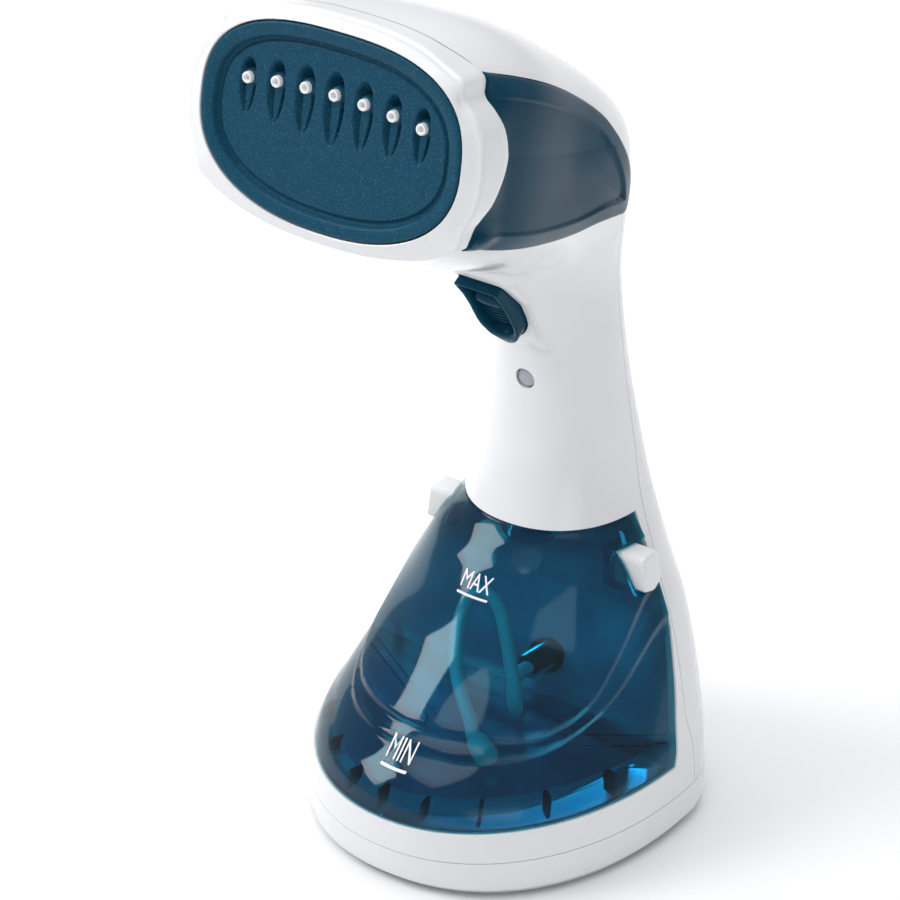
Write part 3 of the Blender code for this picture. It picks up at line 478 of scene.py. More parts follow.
def add_node(material, kind, **values):
    """Add a node, setting its inputs by name."""
    node = material.node_tree.nodes.new(kind)
    for key, value in values.items():
        if hasattr(node, key):
            setattr(node, key, value)
        else:
            node.inputs[key.replace("_", " ")].default_value = value
    return node


def wire(material, source, output, target, entry):
    """Link two nodes."""
    material.node_tree.links.new(source.outputs[output], target.inputs[entry])


def noise_of(material, scale, detail=4.0):
    """Noise over the part's own coordinates."""
    place = add_node(material, "ShaderNodeTexCoord")
    noise = add_node(material, "ShaderNodeTexNoise")
    noise.inputs["Scale"].default_value = scale
    noise.inputs["Detail"].default_value = detail
    wire(material, place, "Object", noise, "Vector")
    return noise


def ramp_of(material, source, output, low_color, high_color, low=0.3, high=0.7):
    """Colour ramp between two colours."""
    ramp = add_node(material, "ShaderNodeValToRGB")
    ramp.color_ramp.elements[0].position = low
    ramp.color_ramp.elements[0].color = (*low_color, 1.0)
    ramp.color_ramp.elements[1].position = high
    ramp.color_ramp.elements[1].color = (*high_color, 1.0)
    wire(material, source, output, ramp, "Fac")
    return ramp


def scaled(color, factor):
    """Colour made lighter or darker."""
    return tuple(min(1.0, c * factor) for c in color)


def moulded(name, color, roughness=0.3, coat=0.0, metallic=0.0, variation=0.03, grain=1400.0,
            relief=0.05, gleam=0.5):
    """Moulded material: slow colour drift, fine grain in its relief, uneven gloss."""
    material, shader = new_material(name, roughness, metallic, coat, gleam=gleam)
    drift = noise_of(material, 35.0, 3.0)
    tint = ramp_of(material, drift, "Fac", scaled(color, 1 - variation), scaled(color, 1 + variation))
    wire(material, tint, "Color", shader, "Base Color")
    fine = noise_of(material, grain, 3.0)
    gloss = add_node(material, "ShaderNodeMapRange")
    gloss.inputs["To Min"].default_value = roughness * 0.8
    gloss.inputs["To Max"].default_value = roughness * 1.25
    wire(material, fine, "Fac", gloss, "Value")
    wire(material, gloss, "Result", shader, "Roughness")
    bump = add_node(material, "ShaderNodeBump")
    bump.inputs["Strength"].default_value = relief
    bump.inputs["Distance"].default_value = 0.0002
    wire(material, fine, "Fac", bump, "Height")
    wire(material, bump, "Normal", shader, "Normal")
    return material


def flaked(name, color, flake_color):
    """Baked ceramic coating with fine bright flakes."""
    material, shader = new_material(name, 0.42, gleam=0.18)
    place = add_node(material, "ShaderNodeTexCoord")
    cells = add_node(material, "ShaderNodeTexVoronoi")
    cells.inputs["Scale"].default_value = 4200.0
    wire(material, place, "Object", cells, "Vector")
    chance = add_node(material, "ShaderNodeSeparateColor")
    wire(material, cells, "Color", chance, "Color")
    picked = add_node(material, "ShaderNodeMapRange")
    picked.inputs["From Min"].default_value = 0.72
    picked.inputs["From Max"].default_value = 1.0
    wire(material, chance, "Red", picked, "Value")
    spot = add_node(material, "ShaderNodeMapRange")
    spot.inputs["From Min"].default_value = 0.45
    spot.inputs["From Max"].default_value = 0.15
    wire(material, cells, "Distance", spot, "Value")
    amount = add_node(material, "ShaderNodeMath", operation="MULTIPLY")
    wire(material, picked, "Result", amount, 0)
    wire(material, spot, "Result", amount, 1)
    cloud = noise_of(material, 420.0, 5.0)
    ground = ramp_of(material, cloud, "Fac", scaled(color, 0.94), scaled(color, 1.06), 0.35, 0.65)
    blend = add_node(material, "ShaderNodeMix", data_type="RGBA")
    wire(material, amount, "Value", blend, "Factor")
    # A colour mix has its two colours at inputs 6 and 7, and its result at output 2.
    wire(material, ground, "Color", blend, 6)
    blend.inputs[7].default_value = (*flake_color, 1.0)
    wire(material, blend, 2, shader, "Base Color")
    bump = add_node(material, "ShaderNodeBump")
    bump.inputs["Strength"].default_value = 0.25
    bump.inputs["Distance"].default_value = 0.0001
    wire(material, cells, "Distance", bump, "Height")
    wire(material, bump, "Normal", shader, "Normal")
    return material


def clear_plastic(name, color):
    """Tinted clear plastic with a faint flow haze."""
    material, shader = new_material(name, 0.04, 0.0, 0.5, 1.0, 1.1)
    haze = noise_of(material, 60.0, 3.0)
    tint = ramp_of(material, haze, "Fac", scaled(color, 0.94), scaled(color, 1.06))
    wire(material, tint, "Color", shader, "Base Color")
    gloss = add_node(material, "ShaderNodeMapRange")
    gloss.inputs["To Min"].default_value = 0.02
    gloss.inputs["To Max"].default_value = 0.06
    wire(material, haze, "Fac", gloss, "Value")
    wire(material, gloss, "Result", shader, "Roughness")
    return material


WHITE = moulded("white_moulding", (0.77, 0.78, 0.79), 0.2, coat=0.3, variation=0.008, relief=0.004)
PETROL = moulded("petrol_moulding", (0.004, 0.046, 0.082), 0.22, variation=0.05, relief=0.01,
                 gleam=0.04)
COATING = flaked("petrol_coating", (0.003, 0.056, 0.104), (0.09, 0.32, 0.42))
CLEAR = clear_plastic("petrol_clear", (0.07, 0.56, 0.70))
TEAL = moulded("teal_silicone", (0.03, 0.52, 0.58), 0.35, variation=0.05, relief=0.05)
NOZZLE = moulded("nozzle_ceramic", (0.84, 0.84, 0.85), 0.22, coat=0.4, variation=0.02)
PRINT = moulded("white_print", (0.86, 0.88, 0.90), 0.45, variation=0.03, relief=0.1)
LENS = moulded("smoked_lens", (0.33, 0.34, 0.38), 0.16, coat=0.6, variation=0.04, relief=0.02)
RUBBER = moulded("grey_rubber", (0.05, 0.05, 0.055), 0.62, variation=0.12, grain=2200.0, relief=0.25)
STEEL = moulded("plain_steel", (0.58, 0.59, 0.61), 0.3, metallic=1.0, variation=0.06, relief=0.08)
CAST = moulded("cast_aluminium", (0.55, 0.56, 0.58), 0.5, metallic=0.9, variation=0.08,
               grain=700.0, relief=0.4)
BRASS = moulded("brass_plain", (0.62, 0.45, 0.19), 0.32, metallic=1.0, variation=0.06)
BLACK = moulded("black_nylon", (0.02, 0.02, 0.023), 0.45, variation=0.1, relief=0.15)
NATURAL = moulded("natural_nylon", (0.62, 0.61, 0.58), 0.5, variation=0.05, relief=0.15)
BOARD = moulded("board_mask", (0.02, 0.14, 0.06), 0.4, variation=0.15, grain=500.0)
HOSE = moulded("clear_silicone", (0.66, 0.69, 0.69), 0.35, variation=0.04)


# ---- housing shells -------------------------------------------------------------------


def skin_solid(name, inset, first, last, per_station, sides, change=None):
    """Closed solid of the skin between two stations."""
    stations = np.linspace(first, last, (last - first) * per_station + 1)
    turns = np.linspace(0, 2 * math.pi, sides, endpoint=False)
    points = skin(stations[:, None], turns[None, :], inset)
    return ringed(name, change(points) if change else points)


def bay_outline(offset):
    """Side view of the tank's space."""
    return grown([(-70.0, BAY_FLOOR_Z)] + list(BAY_REAR) + [(-70.0, BAY_TOP_Z)], offset)


def rear_outline(offset):
    """Side view of everything behind the seam."""
    return grown(list(SEAM) + [(120.0, 10.0), (120.0, 320.0), (-80.0, 320.0)], offset)


def bow_outline(offset):
    """Side view of the bezel's space."""
    points = [tuple(face_point(0, v, d + offset)[1:]) for d, v in BOW]
    return points + [tuple(face_point(0, v, -30.0)[1:]) for v in (-60.0, 40.0)]


def leaf_outline(offset):
    """Side view of a side panel."""
    line = curve_through(LEAF, 4)
    return grown([tuple(p) for p in line], offset)


def even_loop(corners, count, rounding):
    """Closed loop through corners: evenly spaced points, starting at the top middle."""
    line = np.array(list(corners) + [(-x, t) for x, t in reversed(corners) if x > 0] + [corners[0]])
    along = np.concatenate([[0.0], np.cumsum(np.linalg.norm(np.diff(line, axis=0), axis=1))])
    places = np.linspace(0, along[-1], count, endpoint=False)
    loop = np.column_stack([np.interp(places, along, line[:, i]) for i in range(2)])
    return smooth_loop(loop, rounding)


def trigger_outline(growth=0.0):
    """Front view of the trigger, (x, t), from the top middle round to the right."""
    right = ((0.0, 11.8), (7.3, 11.8), (7.0, 2.0), (7.0, -7.0), (6.6, -10.5), (5.0, -13.8),
             (2.8, -16.8), (0.9, -18.2), (0.0, -18.4))
    line = even_loop(right, 144, 3)
    return np.array(grown([tuple(p) for p in line], growth)) if growth else line


def build_housing():
    """Front shell, rear cover and base cup."""
    bay = prism("x_bay", bay_outline(0.0))
    bay_walls = prism("x_bay_walls", bay_outline(WALL))
    rear = prism("x_rear", rear_outline(0.0))
    not_rear = prism("x_not_rear", rear_outline(SEAM_GAP))
    not_bezel = prism("x_not_bezel", bow_outline(SEAM_GAP))
    plinth = block("x_plinth", (-90, -90, -5), (90, 110, PARTING_Z))
    not_plinth = block("x_not_plinth", (-91, -91, -6), (91, 111, PARTING_Z + SEAM_GAP))
    leaf_left = prism("x_leaf_left", leaf_outline(LEAF_GAP), -62.0, -12.0)
    leaf_right = prism("x_leaf_right", leaf_outline(LEAF_GAP), 12.0, 62.0)
    inner = skin_solid("x_inner", WALL, 0, LAST, 4, 72)
    hollow = cut_to("x_hollow", skin_solid("x_front_hollow", WALL, 0, LAST, 4, 72), (), (bay_walls,))
    opening = trigger_outline(0.5)
    trigger_hole = ringed("x_trigger_hole",
                          [trigger_point(opening[:, 0], opening[:, 1], a) for a in (8, -24)])
    led_hole = turned("x_led_hole", (0, 30, 136), (0, 1, 0), [(0, 3.25), (12, 3.25)])
    socket_hole = turned("x_socket_hole", (4, 30, 38), (0, 1, 0), [(0, 5.6), (20, 5.6)])
    gland_hole = turned("x_gland_hole", (0, 70, 24), (0, 1, 0), [(0, 6.0), (20, 6.0)])
    screw_holes = [turned("x_screw_hole", (0, y - 8, z), (0, 1, 0), [(0, 3.7), (20, 3.7)])
                   for y, z in ((78.6, 72.0), (75.4, 118.0))]

    front = cut_to("front_housing", skin_solid("x_front", 0, 0, LAST, 10, 240, with_boss), (),
                   (not_rear, not_bezel, not_plinth, hollow, bay, leaf_left, leaf_right,
                    trigger_hole, led_hole, socket_hole), WHITE)
    back = cut_to("rear_housing", skin_solid("x_back", 0, 0, LAST, 6, 144), (rear,),
                  (leaf_left, leaf_right, not_bezel, not_plinth, inner, gland_hole, *screw_holes), WHITE)
    base_hollow = cut_to("x_base_hollow", skin_solid("x_base_inner", WALL, 0, 2, 6, 72), (),
                         (block("x_base_floor", (-90, -90, -5), (90, 110, 3.7)),))
    cup = cut_to("base_pan", skin_solid("x_cup", 0, 0, 2, 8, 144), (plinth,), (base_hollow,), WHITE)
    discard(*[item for item in bpy.data.objects if item.name.startswith("x_")])
    for item, node in ((front, "front_shell"), (back, "rear_cover"), (cup, "base_cup")):
        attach(item, "housing")
        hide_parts(node)


def plate_ring(inset, depth, turns):
    """Ring of the steam plate's outline, moved inwards."""
    c, s = np.cos(turns), np.sin(turns)
    power = np.where(c > 0, 2.7, 2.3)
    radius = (np.abs(c) ** power + np.abs(s) ** power) ** (-1 / power)
    v = PLATE_MIDDLE + (PLATE_HALF_HEIGHT - inset) * c * radius
    return face_point((PLATE_HALF_WIDTH - inset) * s * radius, v, depth)


def rim_scale(angle):
    """How far the bezel's rim lies beyond the skin's section, by angle about the middle."""
    line = curve_through(RIM_OUTLINE, 12)
    line_angle = np.arctan2(line[:, 0], line[:, 1] - FACE_MIDDLE)
    line_radius = np.hypot(line[:, 0], line[:, 1] - FACE_MIDDLE)
    turns = np.linspace(0, math.pi, 721)
    x, v, _ = face_coordinates(skin(LAST, math.pi - turns))
    skin_angle = np.arctan2(x, v - FACE_MIDDLE)
    skin_radius = np.hypot(x, v - FACE_MIDDLE)
    folded = np.abs(angle)
    return np.interp(folded, line_angle, line_radius) / np.interp(folded, skin_angle, skin_radius)


def side_swell(v, d):
    """Share of the rim's stepped outline that the head's sides take on behind the rim."""
    return (1 - smooth(9.0, 22.0, d)) * smooth(17.0, 14.0, v) * smooth(-36.0, -32.0, v)


def swollen(points):
    """Points of the head's skin with the stepped outline carried back along the sides."""
    x, v, d = face_coordinates(points)
    scale = 1 + (rim_scale(np.arctan2(x, v - FACE_MIDDLE)) - 1) * side_swell(v, d)
    return face_point(x * scale, FACE_MIDDLE + (v - FACE_MIDDLE) * scale, d)


def build_bezel():
    """White ring round the plate, with a bow-shaped rear edge and stepped corners."""
    count = 240
    turns = np.linspace(0, 2 * math.pi, count, endpoint=False) + math.pi
    bow = sorted((v, d) for d, v in BOW)
    bow_v, bow_d = np.array([b[0] for b in bow]), np.array([b[1] for b in bow])

    def before_bow(t):
        """How far the skin lies in front of the bow-shaped edge."""
        _, v, d = face_coordinates(skin(t, turns))
        return np.interp(v, bow_v, bow_d) - d

    def at_depth(depth):
        """Station numbers of the skin at a depth behind the face."""
        return solve(lambda t: depth - face_coordinates(skin(t, turns))[2], 12, LAST, turns.shape)

    edge = solve(before_bow, 12, LAST, turns.shape)
    front = at_depth(1.0)
    _, _, edge_depth = face_coordinates(skin(edge, turns))

    def ring(t, inset, depth_shift=0.0):
        """Ring of the bezel at station numbers t, moved inwards and back."""
        x, v, d = face_coordinates(skin(t, turns))
        closeness = 1 - smooth(0.0, 1.0, d / np.maximum(edge_depth, 1e-3))
        closeness = np.maximum(closeness, side_swell(v, d))
        angle = np.arctan2(x, v - FACE_MIDDLE)
        scale = 1 + (rim_scale(angle) - 1) * closeness
        radius = np.hypot(x, v - FACE_MIDDLE)
        scale = scale * (1 - inset / radius)
        return face_point(x * scale, FACE_MIDDLE + (v - FACE_MIDDLE) * scale, d + depth_shift)

    rings = [ring(edge, 2.2), ring(edge, 0.35), ring(edge, 0.08, -0.12), ring(edge, 0.0, -0.45)]
    start = edge + (front - edge) * 0.06
    for share in np.linspace(0, 1, 12):
        rings.append(ring(start + (front - start) * share, 0.0))
    for bend in np.linspace(0.15, 1, 7) * 0.5 * math.pi:
        rings.append(ring(at_depth(1.0 - 0.95 * math.sin(bend)), 0.9 * (1 - math.cos(bend))))
    outer = rings[-1]
    inner = plate_ring(-0.65, PLATE_RIM + 0.3, math.pi - turns)
    for share in (0.25, 0.5, 0.75, 1.0):
        rings.append(outer + (inner - outer) * share)
    rings.append(plate_ring(-0.4, PLATE_RIM + 0.45, math.pi - turns))
    rings.append(plate_ring(-0.3, PLATE_RIM + 0.8, math.pi - turns))
    rings.append(plate_ring(-0.3, 5.0, math.pi - turns))
    item = ringed("head_bezel", rings, WHITE, cyclic=True, sharp=36.0)
    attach(item, "housing")
    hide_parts("bezel")


def build_side_panels():
    """Two blue leaf-shaped panels: a flat rim, and a dish with a long crease."""
    top_and_bottom = curve_through(LEAF, 6)
    bow_line = np.array([face_point(0, v, d + 0.2)[1:] for d, v in BOW])
    depth = face_coordinates(np.column_stack([np.zeros(len(top_and_bottom)), top_and_bottom]))
    limit = np.interp(depth[1], [b[1] for b in reversed(BOW)], [b[0] for b in reversed(BOW)]) + 0.2
    rim_line = top_and_bottom[depth[2] > limit]
    bow_fine = curve_through([tuple(p) for p in bow_line[1:-1]], 10)
    z_high, z_low = rim_line[0][1], rim_line[-1][1]
    bow_part = bow_fine[(bow_fine[:, 1] < z_high + 0.5) & (bow_fine[:, 1] > z_low - 0.5)]
    outline = np.vstack([rim_line, bow_part[np.argsort(bow_part[:, 1])]])
    crease = curve_through(LEAF_CREASE, 16)
    middle = np.array([crease[np.argmin(np.linalg.norm(crease - point, axis=1))]
                       for point in outline])
    steps = [0.0, 0.3, 0.8, 1.6, 2.6, 3.4, 3.8, 4.2, 4.6, 5.0, 5.5]
    reach = np.linalg.norm(middle - outline, axis=1)[:, None]
    shares = [np.minimum(step / np.maximum(reach, 6.0), 1.0) for step in steps]
    flat_rings = [outline + (middle - outline) * share for share in shares]
    start = flat_rings[-1]
    for share in np.linspace(0, 1, 26)[1:]:
        flat_rings.append(start + (middle - start) * share)
    for side, sign in (("left", -1), ("right", 1)):
        rings = []
        for index, flat in enumerate(flat_rings):
            width = skin_side(flat[:, 0], flat[:, 1])
            from_rim = distance_to(flat, rim_line)
            from_crease = distance_to(flat, crease)
            share = np.clip(from_rim / np.maximum(from_rim + from_crease, 1e-6), 0, 1)
            valley = 1.6 * np.clip(share - 0.2, 0, 1) / 0.8 * smooth(34.0, 8.0, flat[:, 0])
            valley = valley + 1.2 * smooth(4, 15, from_rim)
            dish = 1.2 * smooth(4.4, 5.8, from_rim) + valley * smooth(4, 8, from_rim)
            edge = 0.30 if index == 0 else (0.06 if index == 1 else 0.0)
            height = 0.8 - dish - edge
            wall = swollen(np.column_stack([width, flat]))
            wall[:, 0] = sign * (wall[:, 0] + height)
            rings.append(wall)
        inner = []
        for inset, flat in ((2.0, flat_rings[0]), (2.2, flat_rings[4])):
            wall = swollen(np.column_stack([skin_side(flat[:, 0], flat[:, 1]), flat]))
            wall[:, 0] = sign * (wall[:, 0] - inset)
            inner.append(wall)
        rings = [inner[1], inner[0]] + rings
        item = ringed("side_leaf_" + side, rings, PETROL, sharp=30.0)
        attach(item, "housing")
        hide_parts("side_panel_" + side)


def smooth_loop(points, times):
    """Average each point of a closed loop with its neighbours."""
    for _ in range(times):
        points = 0.25 * np.roll(points, 1, axis=0) + 0.5 * points + 0.25 * np.roll(points, -1, axis=0)
    return points


# ---- steam plate ----------------------------------------------------------------------


def nozzle_place(index):
    """Place of a nozzle on the face: x and v."""
    step = index - (NOZZLE_COUNT - 1) / 2
    return step * NOZZLE_PITCH, NOZZLE_V - NOZZLE_DROOP * step ** 2


def scoop_depth(x, v):
    """Depth of the leaf-shaped scoops under the plate's field."""
    depth = np.zeros_like(x)
    for index in range(NOZZLE_COUNT):
        middle, nozzle_v = nozzle_place(index)
        step = abs(index - (NOZZLE_COUNT - 1) / 2)
        length = 20.5 - 1.7 * step
        half = 3.3 - 0.2 * step
        share = np.clip((nozzle_v + 6.6 - 0.3 * step - v) / length, 0, 1)
        outline = np.sin(math.pi * share ** 0.85) ** 0.5
        across = np.abs(x - middle) / np.maximum(half * outline, 1e-3)
        inside = (share > 0) & (share < 1) & (across < 1)
        bowl = (1 - across ** 3.0) * (3.9 * np.minimum(1, share * 6) * (1 - share) ** 0.5)
        ridge = 0.6 * smooth(0.6, 0.4, across) * smooth(0.36, 0.42, share)
        pad = 0.8 * smooth(3.1, 1.8, np.hypot(x - middle, v - nozzle_v))
        scoop = np.maximum(bowl * (1 - np.maximum(ridge, pad)), 0)
        depth = np.maximum(depth, np.where(inside, scoop, 0))
    return depth


def build_plate():
    """Coated plate: raised rim, sunk field, seven scoops, and the nozzles in them."""
    turns = np.linspace(0, 2 * math.pi, 480, endpoint=False)
    insets = [0.0, 0.12, 0.35, 0.7, 1.2, 1.9, 2.6, 3.1] + list(np.arange(3.4, 6.4, 0.2))
    insets += list(np.arange(6.5, PLATE_HALF_HEIGHT - 0.1, 0.25)) + [PLATE_HALF_HEIGHT - 0.05]
    rings = [plate_ring(0.0, 4.0, turns), plate_ring(0.0, PLATE_RIM + 0.9, turns)]
    for inset in insets:
        flat = plate_ring(inset, 0.0, turns)
        x, v, _ = face_coordinates(flat)
        edge = 0.75 * (1 - math.sqrt(max(0.0, 1 - (1 - min(inset / 0.7, 1)) ** 2)))
        roll = 0.5 * min(inset / 3.4, 1.0) ** 2
        field = roll + 2.0 * smooth(3.4, 4.5, inset) - 0.7 * smooth(5.0, 5.8, inset)
        rings.append(face_point(x, v, PLATE_RIM + edge + field + scoop_depth(x, v)))
    plate = ringed("steam_plate", rings, COATING, sharp=60.0)
    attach(plate, "housing")
    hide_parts("soleplate")
    axis = (0.0, math.cos(FACE_TILT), -math.sin(FACE_TILT))
    profile = [(1.1, 0.0), (1.1, 0.7), (0.6, 0.76), (0.2, 0.86), (0.0, 1.05), (0.0, 1.32), (0.12, 1.5),
               (0.4, 1.6), (4.2, 1.6), (4.2, 0.0)]
    for index in range(NOZZLE_COUNT):
        start = face_point(*nozzle_place(index), -1.1)
        item = turned("steam_nozzle_%d" % (index + 1), start, axis, profile, NOZZLE, 36)
        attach(item, "housing")
        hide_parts("nozzle_%d" % (index + 1))


# ---- tank -----------------------------------------------------------------------------


def bay_rear_at(z, offset):
    """Rear limit of the tank's space at a height."""
    return np.interp(z, [p[1] for p in BAY_REAR], [p[0] for p in BAY_REAR]) + offset


def tank_shell(z, share, inset):
    """Front and sides of the tank: share runs from -1 to 1 between its rear edges."""
    z, share = np.broadcast_arrays(np.asarray(z, float), np.asarray(share, float))
    limit = bay_rear_at(z, -GAP)
    edge = solve(lambda turn: skin_at_height(z, turn, inset)[..., 1] - limit, 0.3, 2.6, z.shape)
    return skin_at_height(z, edge * share, inset)


def tongue_height(points):
    """Raised tongue on the tank's front."""
    line = curve_through(TONGUE, 8)
    flat = np.stack([np.abs(points[..., 0]), points[..., 2]], -1)
    away = distance_to(flat, line)
    limit = np.interp(flat[..., 1], line[line[:, 1] > 48.6][:, 1], line[line[:, 1] > 48.6][:, 0])
    floor = np.interp(flat[..., 0], line[line[:, 1] < 49][:, 0], line[line[:, 1] < 49][:, 1])
    inside = (flat[..., 0] < limit) & (flat[..., 1] > floor)
    signed = np.where(inside, away, -away)
    step = 1.1 * smooth(-4.4, -3.4, signed) + 1.2 * smooth(-0.6, 0.5, signed)
    return step * smooth(91, 78, points[..., 2])


def outward(points):
    """Normals of a grid of points, away from the tank's axis."""
    across = np.gradient(points, axis=1)
    along = np.gradient(points, axis=0)
    normals = unit(np.cross(across, along))
    middle = np.array([0.0, 30.0, 0.0])
    away = points - middle
    away[..., 2] = 0
    flip = np.sign(np.sum(normals * away, axis=-1, keepdims=True))
    return normals * np.where(flip == 0, 1, flip)


def tank_grid(levels, inset, shape=True):
    """Grid of the tank's front, with its tongue and, when shaped, a rolled top edge."""
    shares = np.linspace(-1, 1, 181)
    z, share = np.meshgrid(levels, shares, indexing="ij")
    points = tank_shell(z, share, TANK_SETBACK + inset)
    normals = outward(points)
    height = tongue_height(points)
    if shape:
        below_top = np.clip((levels.max() - z) / TANK_TOP_ROLL, 0, 1)
        height = height - TANK_TOP_ROLL * (1 - np.sqrt(np.clip(1 - (1 - below_top) ** 2, 0, 1)))
    return points + normals * height[..., None]


def closed_tank(name, levels, inset, shape, material):
    """Closed surface: the tank's front and sides, a rear wall, a top and a floor."""
    grid = tank_grid(np.asarray(levels, float), inset, shape)
    rear = []
    for row in grid:
        share = np.linspace(0, 1, 24)[1:-1, None]
        line = row[-1] + (row[0] - row[-1]) * share
        line[:, 1] -= inset
        rear.append(line)
    rings = np.concatenate([grid, np.array(rear)], axis=1)
    if inset:
        rings[:, 0, 1] -= inset
        rings[:, grid.shape[1] - 1, 1] -= inset
    middle_top = rings[-1].mean(axis=0)
    middle_floor = rings[0].mean(axis=0)
    inner_top = [rings[-1] + (middle_top - rings[-1]) * share for share in (0.02, 0.3, 0.6, 0.9)]
    inner_floor = [rings[0] + (middle_floor - rings[0]) * share for share in (0.9, 0.6, 0.3, 0.02)]
    return ringed(name, inner_floor + list(rings) + inner_top, material, sharp=45.0)


def build_tank():
    """Translucent tank with real walls, its floor and a hollow skirt."""
    bottom = BAY_FLOOR_Z + GAP
    levels = np.concatenate([[bottom, bottom + 0.2], np.linspace(bottom + 0.7, 31.4, 12),
                             np.linspace(32.0, 90.6, 114), [90.85, 91.1, 91.3, 91.5, 91.62, 91.7]])
    outer = closed_tank("x_outer", levels, 0.0, True, CLEAR)
    cavity = closed_tank("x_cavity", np.linspace(TANK_FLOOR_Z, 89.4, 90), TANK_WALL, False, CLEAR)
    skirt = closed_tank("x_skirt", np.linspace(21.0, TANK_FLOOR_Z - TANK_WALL, 12), TANK_WALL,
                        False, CLEAR)
    pockets = []
    for side, sign in (("left", -1), ("right", 1)):
        low, high = sorted((sign * 24.2, sign * 70.0))
        wall_low, wall_high = sorted((sign * 22.0, sign * 70.0))
        pockets.append(block("x_pocket_" + side, (low, 42.4, 71.4), (high, 58.0, 84.6)))
        room = block("x_room_" + side, (wall_low, 40.4, 69.4), (wall_high, 70.0, 110.0))
        cavity = cut_to("x_cavity", cavity, (), (room,))
    filler = turned("x_filler", (0, 42.5, 80), (0, 0, 1), [(0, 6.4), (20, 6.4)])
    outlet = turned("x_outlet", (4, 34, 38), (0, 1, 0), [(0, 4.3), (20, 4.3)])
    tank = cut_to("tank_body", outer, (), (cavity, skirt, *pockets, filler, outlet), CLEAR, 40.0)
    discard(*[item for item in bpy.data.objects if item.name.startswith("x_")])
    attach(tank, "tank")
    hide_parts("water_tank")


def on_tank(x, z, lift):
    """Points a little proud of the tank's front."""
    x, z = np.broadcast_arrays(np.asarray(x, float), np.asarray(z, float))
    turn = solve(lambda turn: skin_at_height(z, turn, TANK_SETBACK)[..., 0] - x, -1.5, 1.5, x.shape)
    points = skin_at_height(z, turn, TANK_SETBACK)
    step = 0.02
    across = skin_at_height(z, turn + step, TANK_SETBACK) - points
    along = skin_at_height(z + 0.5, turn, TANK_SETBACK) - points
    normals = unit(np.cross(across, along))
    normals = np.where(normals[..., 1:2] > 0, -normals, normals)
    return points + normals * (tongue_height(points) + lift)[..., None]


def build_level_mark(word, x, z, width, height):
    """Printed level mark: a word over a line, lying on the tank's front."""
    curve = bpy.data.curves.new("x_word", "FONT")
    curve.body = word
    curve.align_x = "CENTER"
    curve.resolution_u = 3
    text = bpy.data.objects.new("x_word", curve)
    bpy.context.scene.collection.objects.link(text)
    bpy.context.view_layer.update()
    graph = bpy.context.evaluated_depsgraph_get()
    mesh = bpy.data.meshes.new_from_object(text.evaluated_get(graph))
    work = bmesh.new()
    work.from_mesh(mesh)
    bmesh.ops.remove_doubles(work, verts=work.verts, dist=1e-5)
    bmesh.ops.triangulate(work, faces=work.faces)
    flat = np.array([v.co[:2] for v in work.verts])
    faces = [tuple(v.index for v in f.verts) for f in work.faces]
    edges = [e for e in work.edges if len(e.link_faces) == 1]
    border = [(e.verts[0].index, e.verts[1].index) for e in edges]
    work.free()
    span = flat.max(0) - flat.min(0)
    flat = (flat - flat.min(0) - [0.5 * span[0], 0]) / span * [width, height]
    line = np.array([(-0.5 * width - 0.3, -1.7), (0.5 * width + 0.3, -1.7), (0.5 * width + 0.3, -1.15),
                     (-0.5 * width - 0.3, -1.15)])
    columns = np.linspace(line[0][0], line[1][0], 17)
    bar = np.array([(c, low) for c in columns for low in (-1.7, -1.15)])
    bar_faces = [(2 * i, 2 * i + 2, 2 * i + 3, 2 * i + 1) for i in range(16)]
    bar_edges = [(2 * i, 2 * i + 2) for i in range(16)] + [(2 * i + 1, 2 * i + 3) for i in range(16)]
    bar_edges += [(0, 1), (32, 33)]
    offset = len(flat)
    flat = np.vstack([flat, bar])
    faces += [tuple(offset + i for i in face) for face in bar_faces]
    border += [(offset + a, offset + b) for a, b in bar_edges]
    high = on_tank(x + flat[:, 0], z + flat[:, 1], 0.22)
    low = on_tank(x + flat[:, 0], z + flat[:, 1], 0.08)
    count = len(flat)
    solid = list(faces) + [tuple(count + i for i in reversed(face)) for face in faces]
    solid += [(a, b, count + b, count + a) for a, b in border]
    item = piece("level_mark_" + word.lower(), np.vstack([high, low]), solid, PRINT)
    bpy.data.objects.remove(text, do_unlink=True)
    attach(item, "tank")


def build_skirt_ribs():
    """Thin ribs behind the tank's skirt."""
    for index, share in enumerate((-0.80, -0.60, -0.40, -0.20, -0.04, 0.14, 0.34, 0.56, 0.78)):
        heights = np.linspace(BAY_FLOOR_Z + 1.0, TANK_FLOOR_Z - 2.2, 4)
        outer = tank_shell(heights, np.full(4, share), TANK_SETBACK + 2.15)
        inner = outer.copy()
        inner[:, 0] *= 0.90
        inner[:, 1] = 24 + (inner[:, 1] - 24) * 0.90
        along = unit(outer[0] - inner[0])
        across = 0.55 * np.array([along[1], -along[0], 0.0])
        rings = []
        for a, b in zip(outer, inner):
            rings.append([a + across, a - across, b - across, b + across])
        item = ringed("skirt_rib_%d" % (index + 1), rings, PETROL)
        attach(item, "tank")


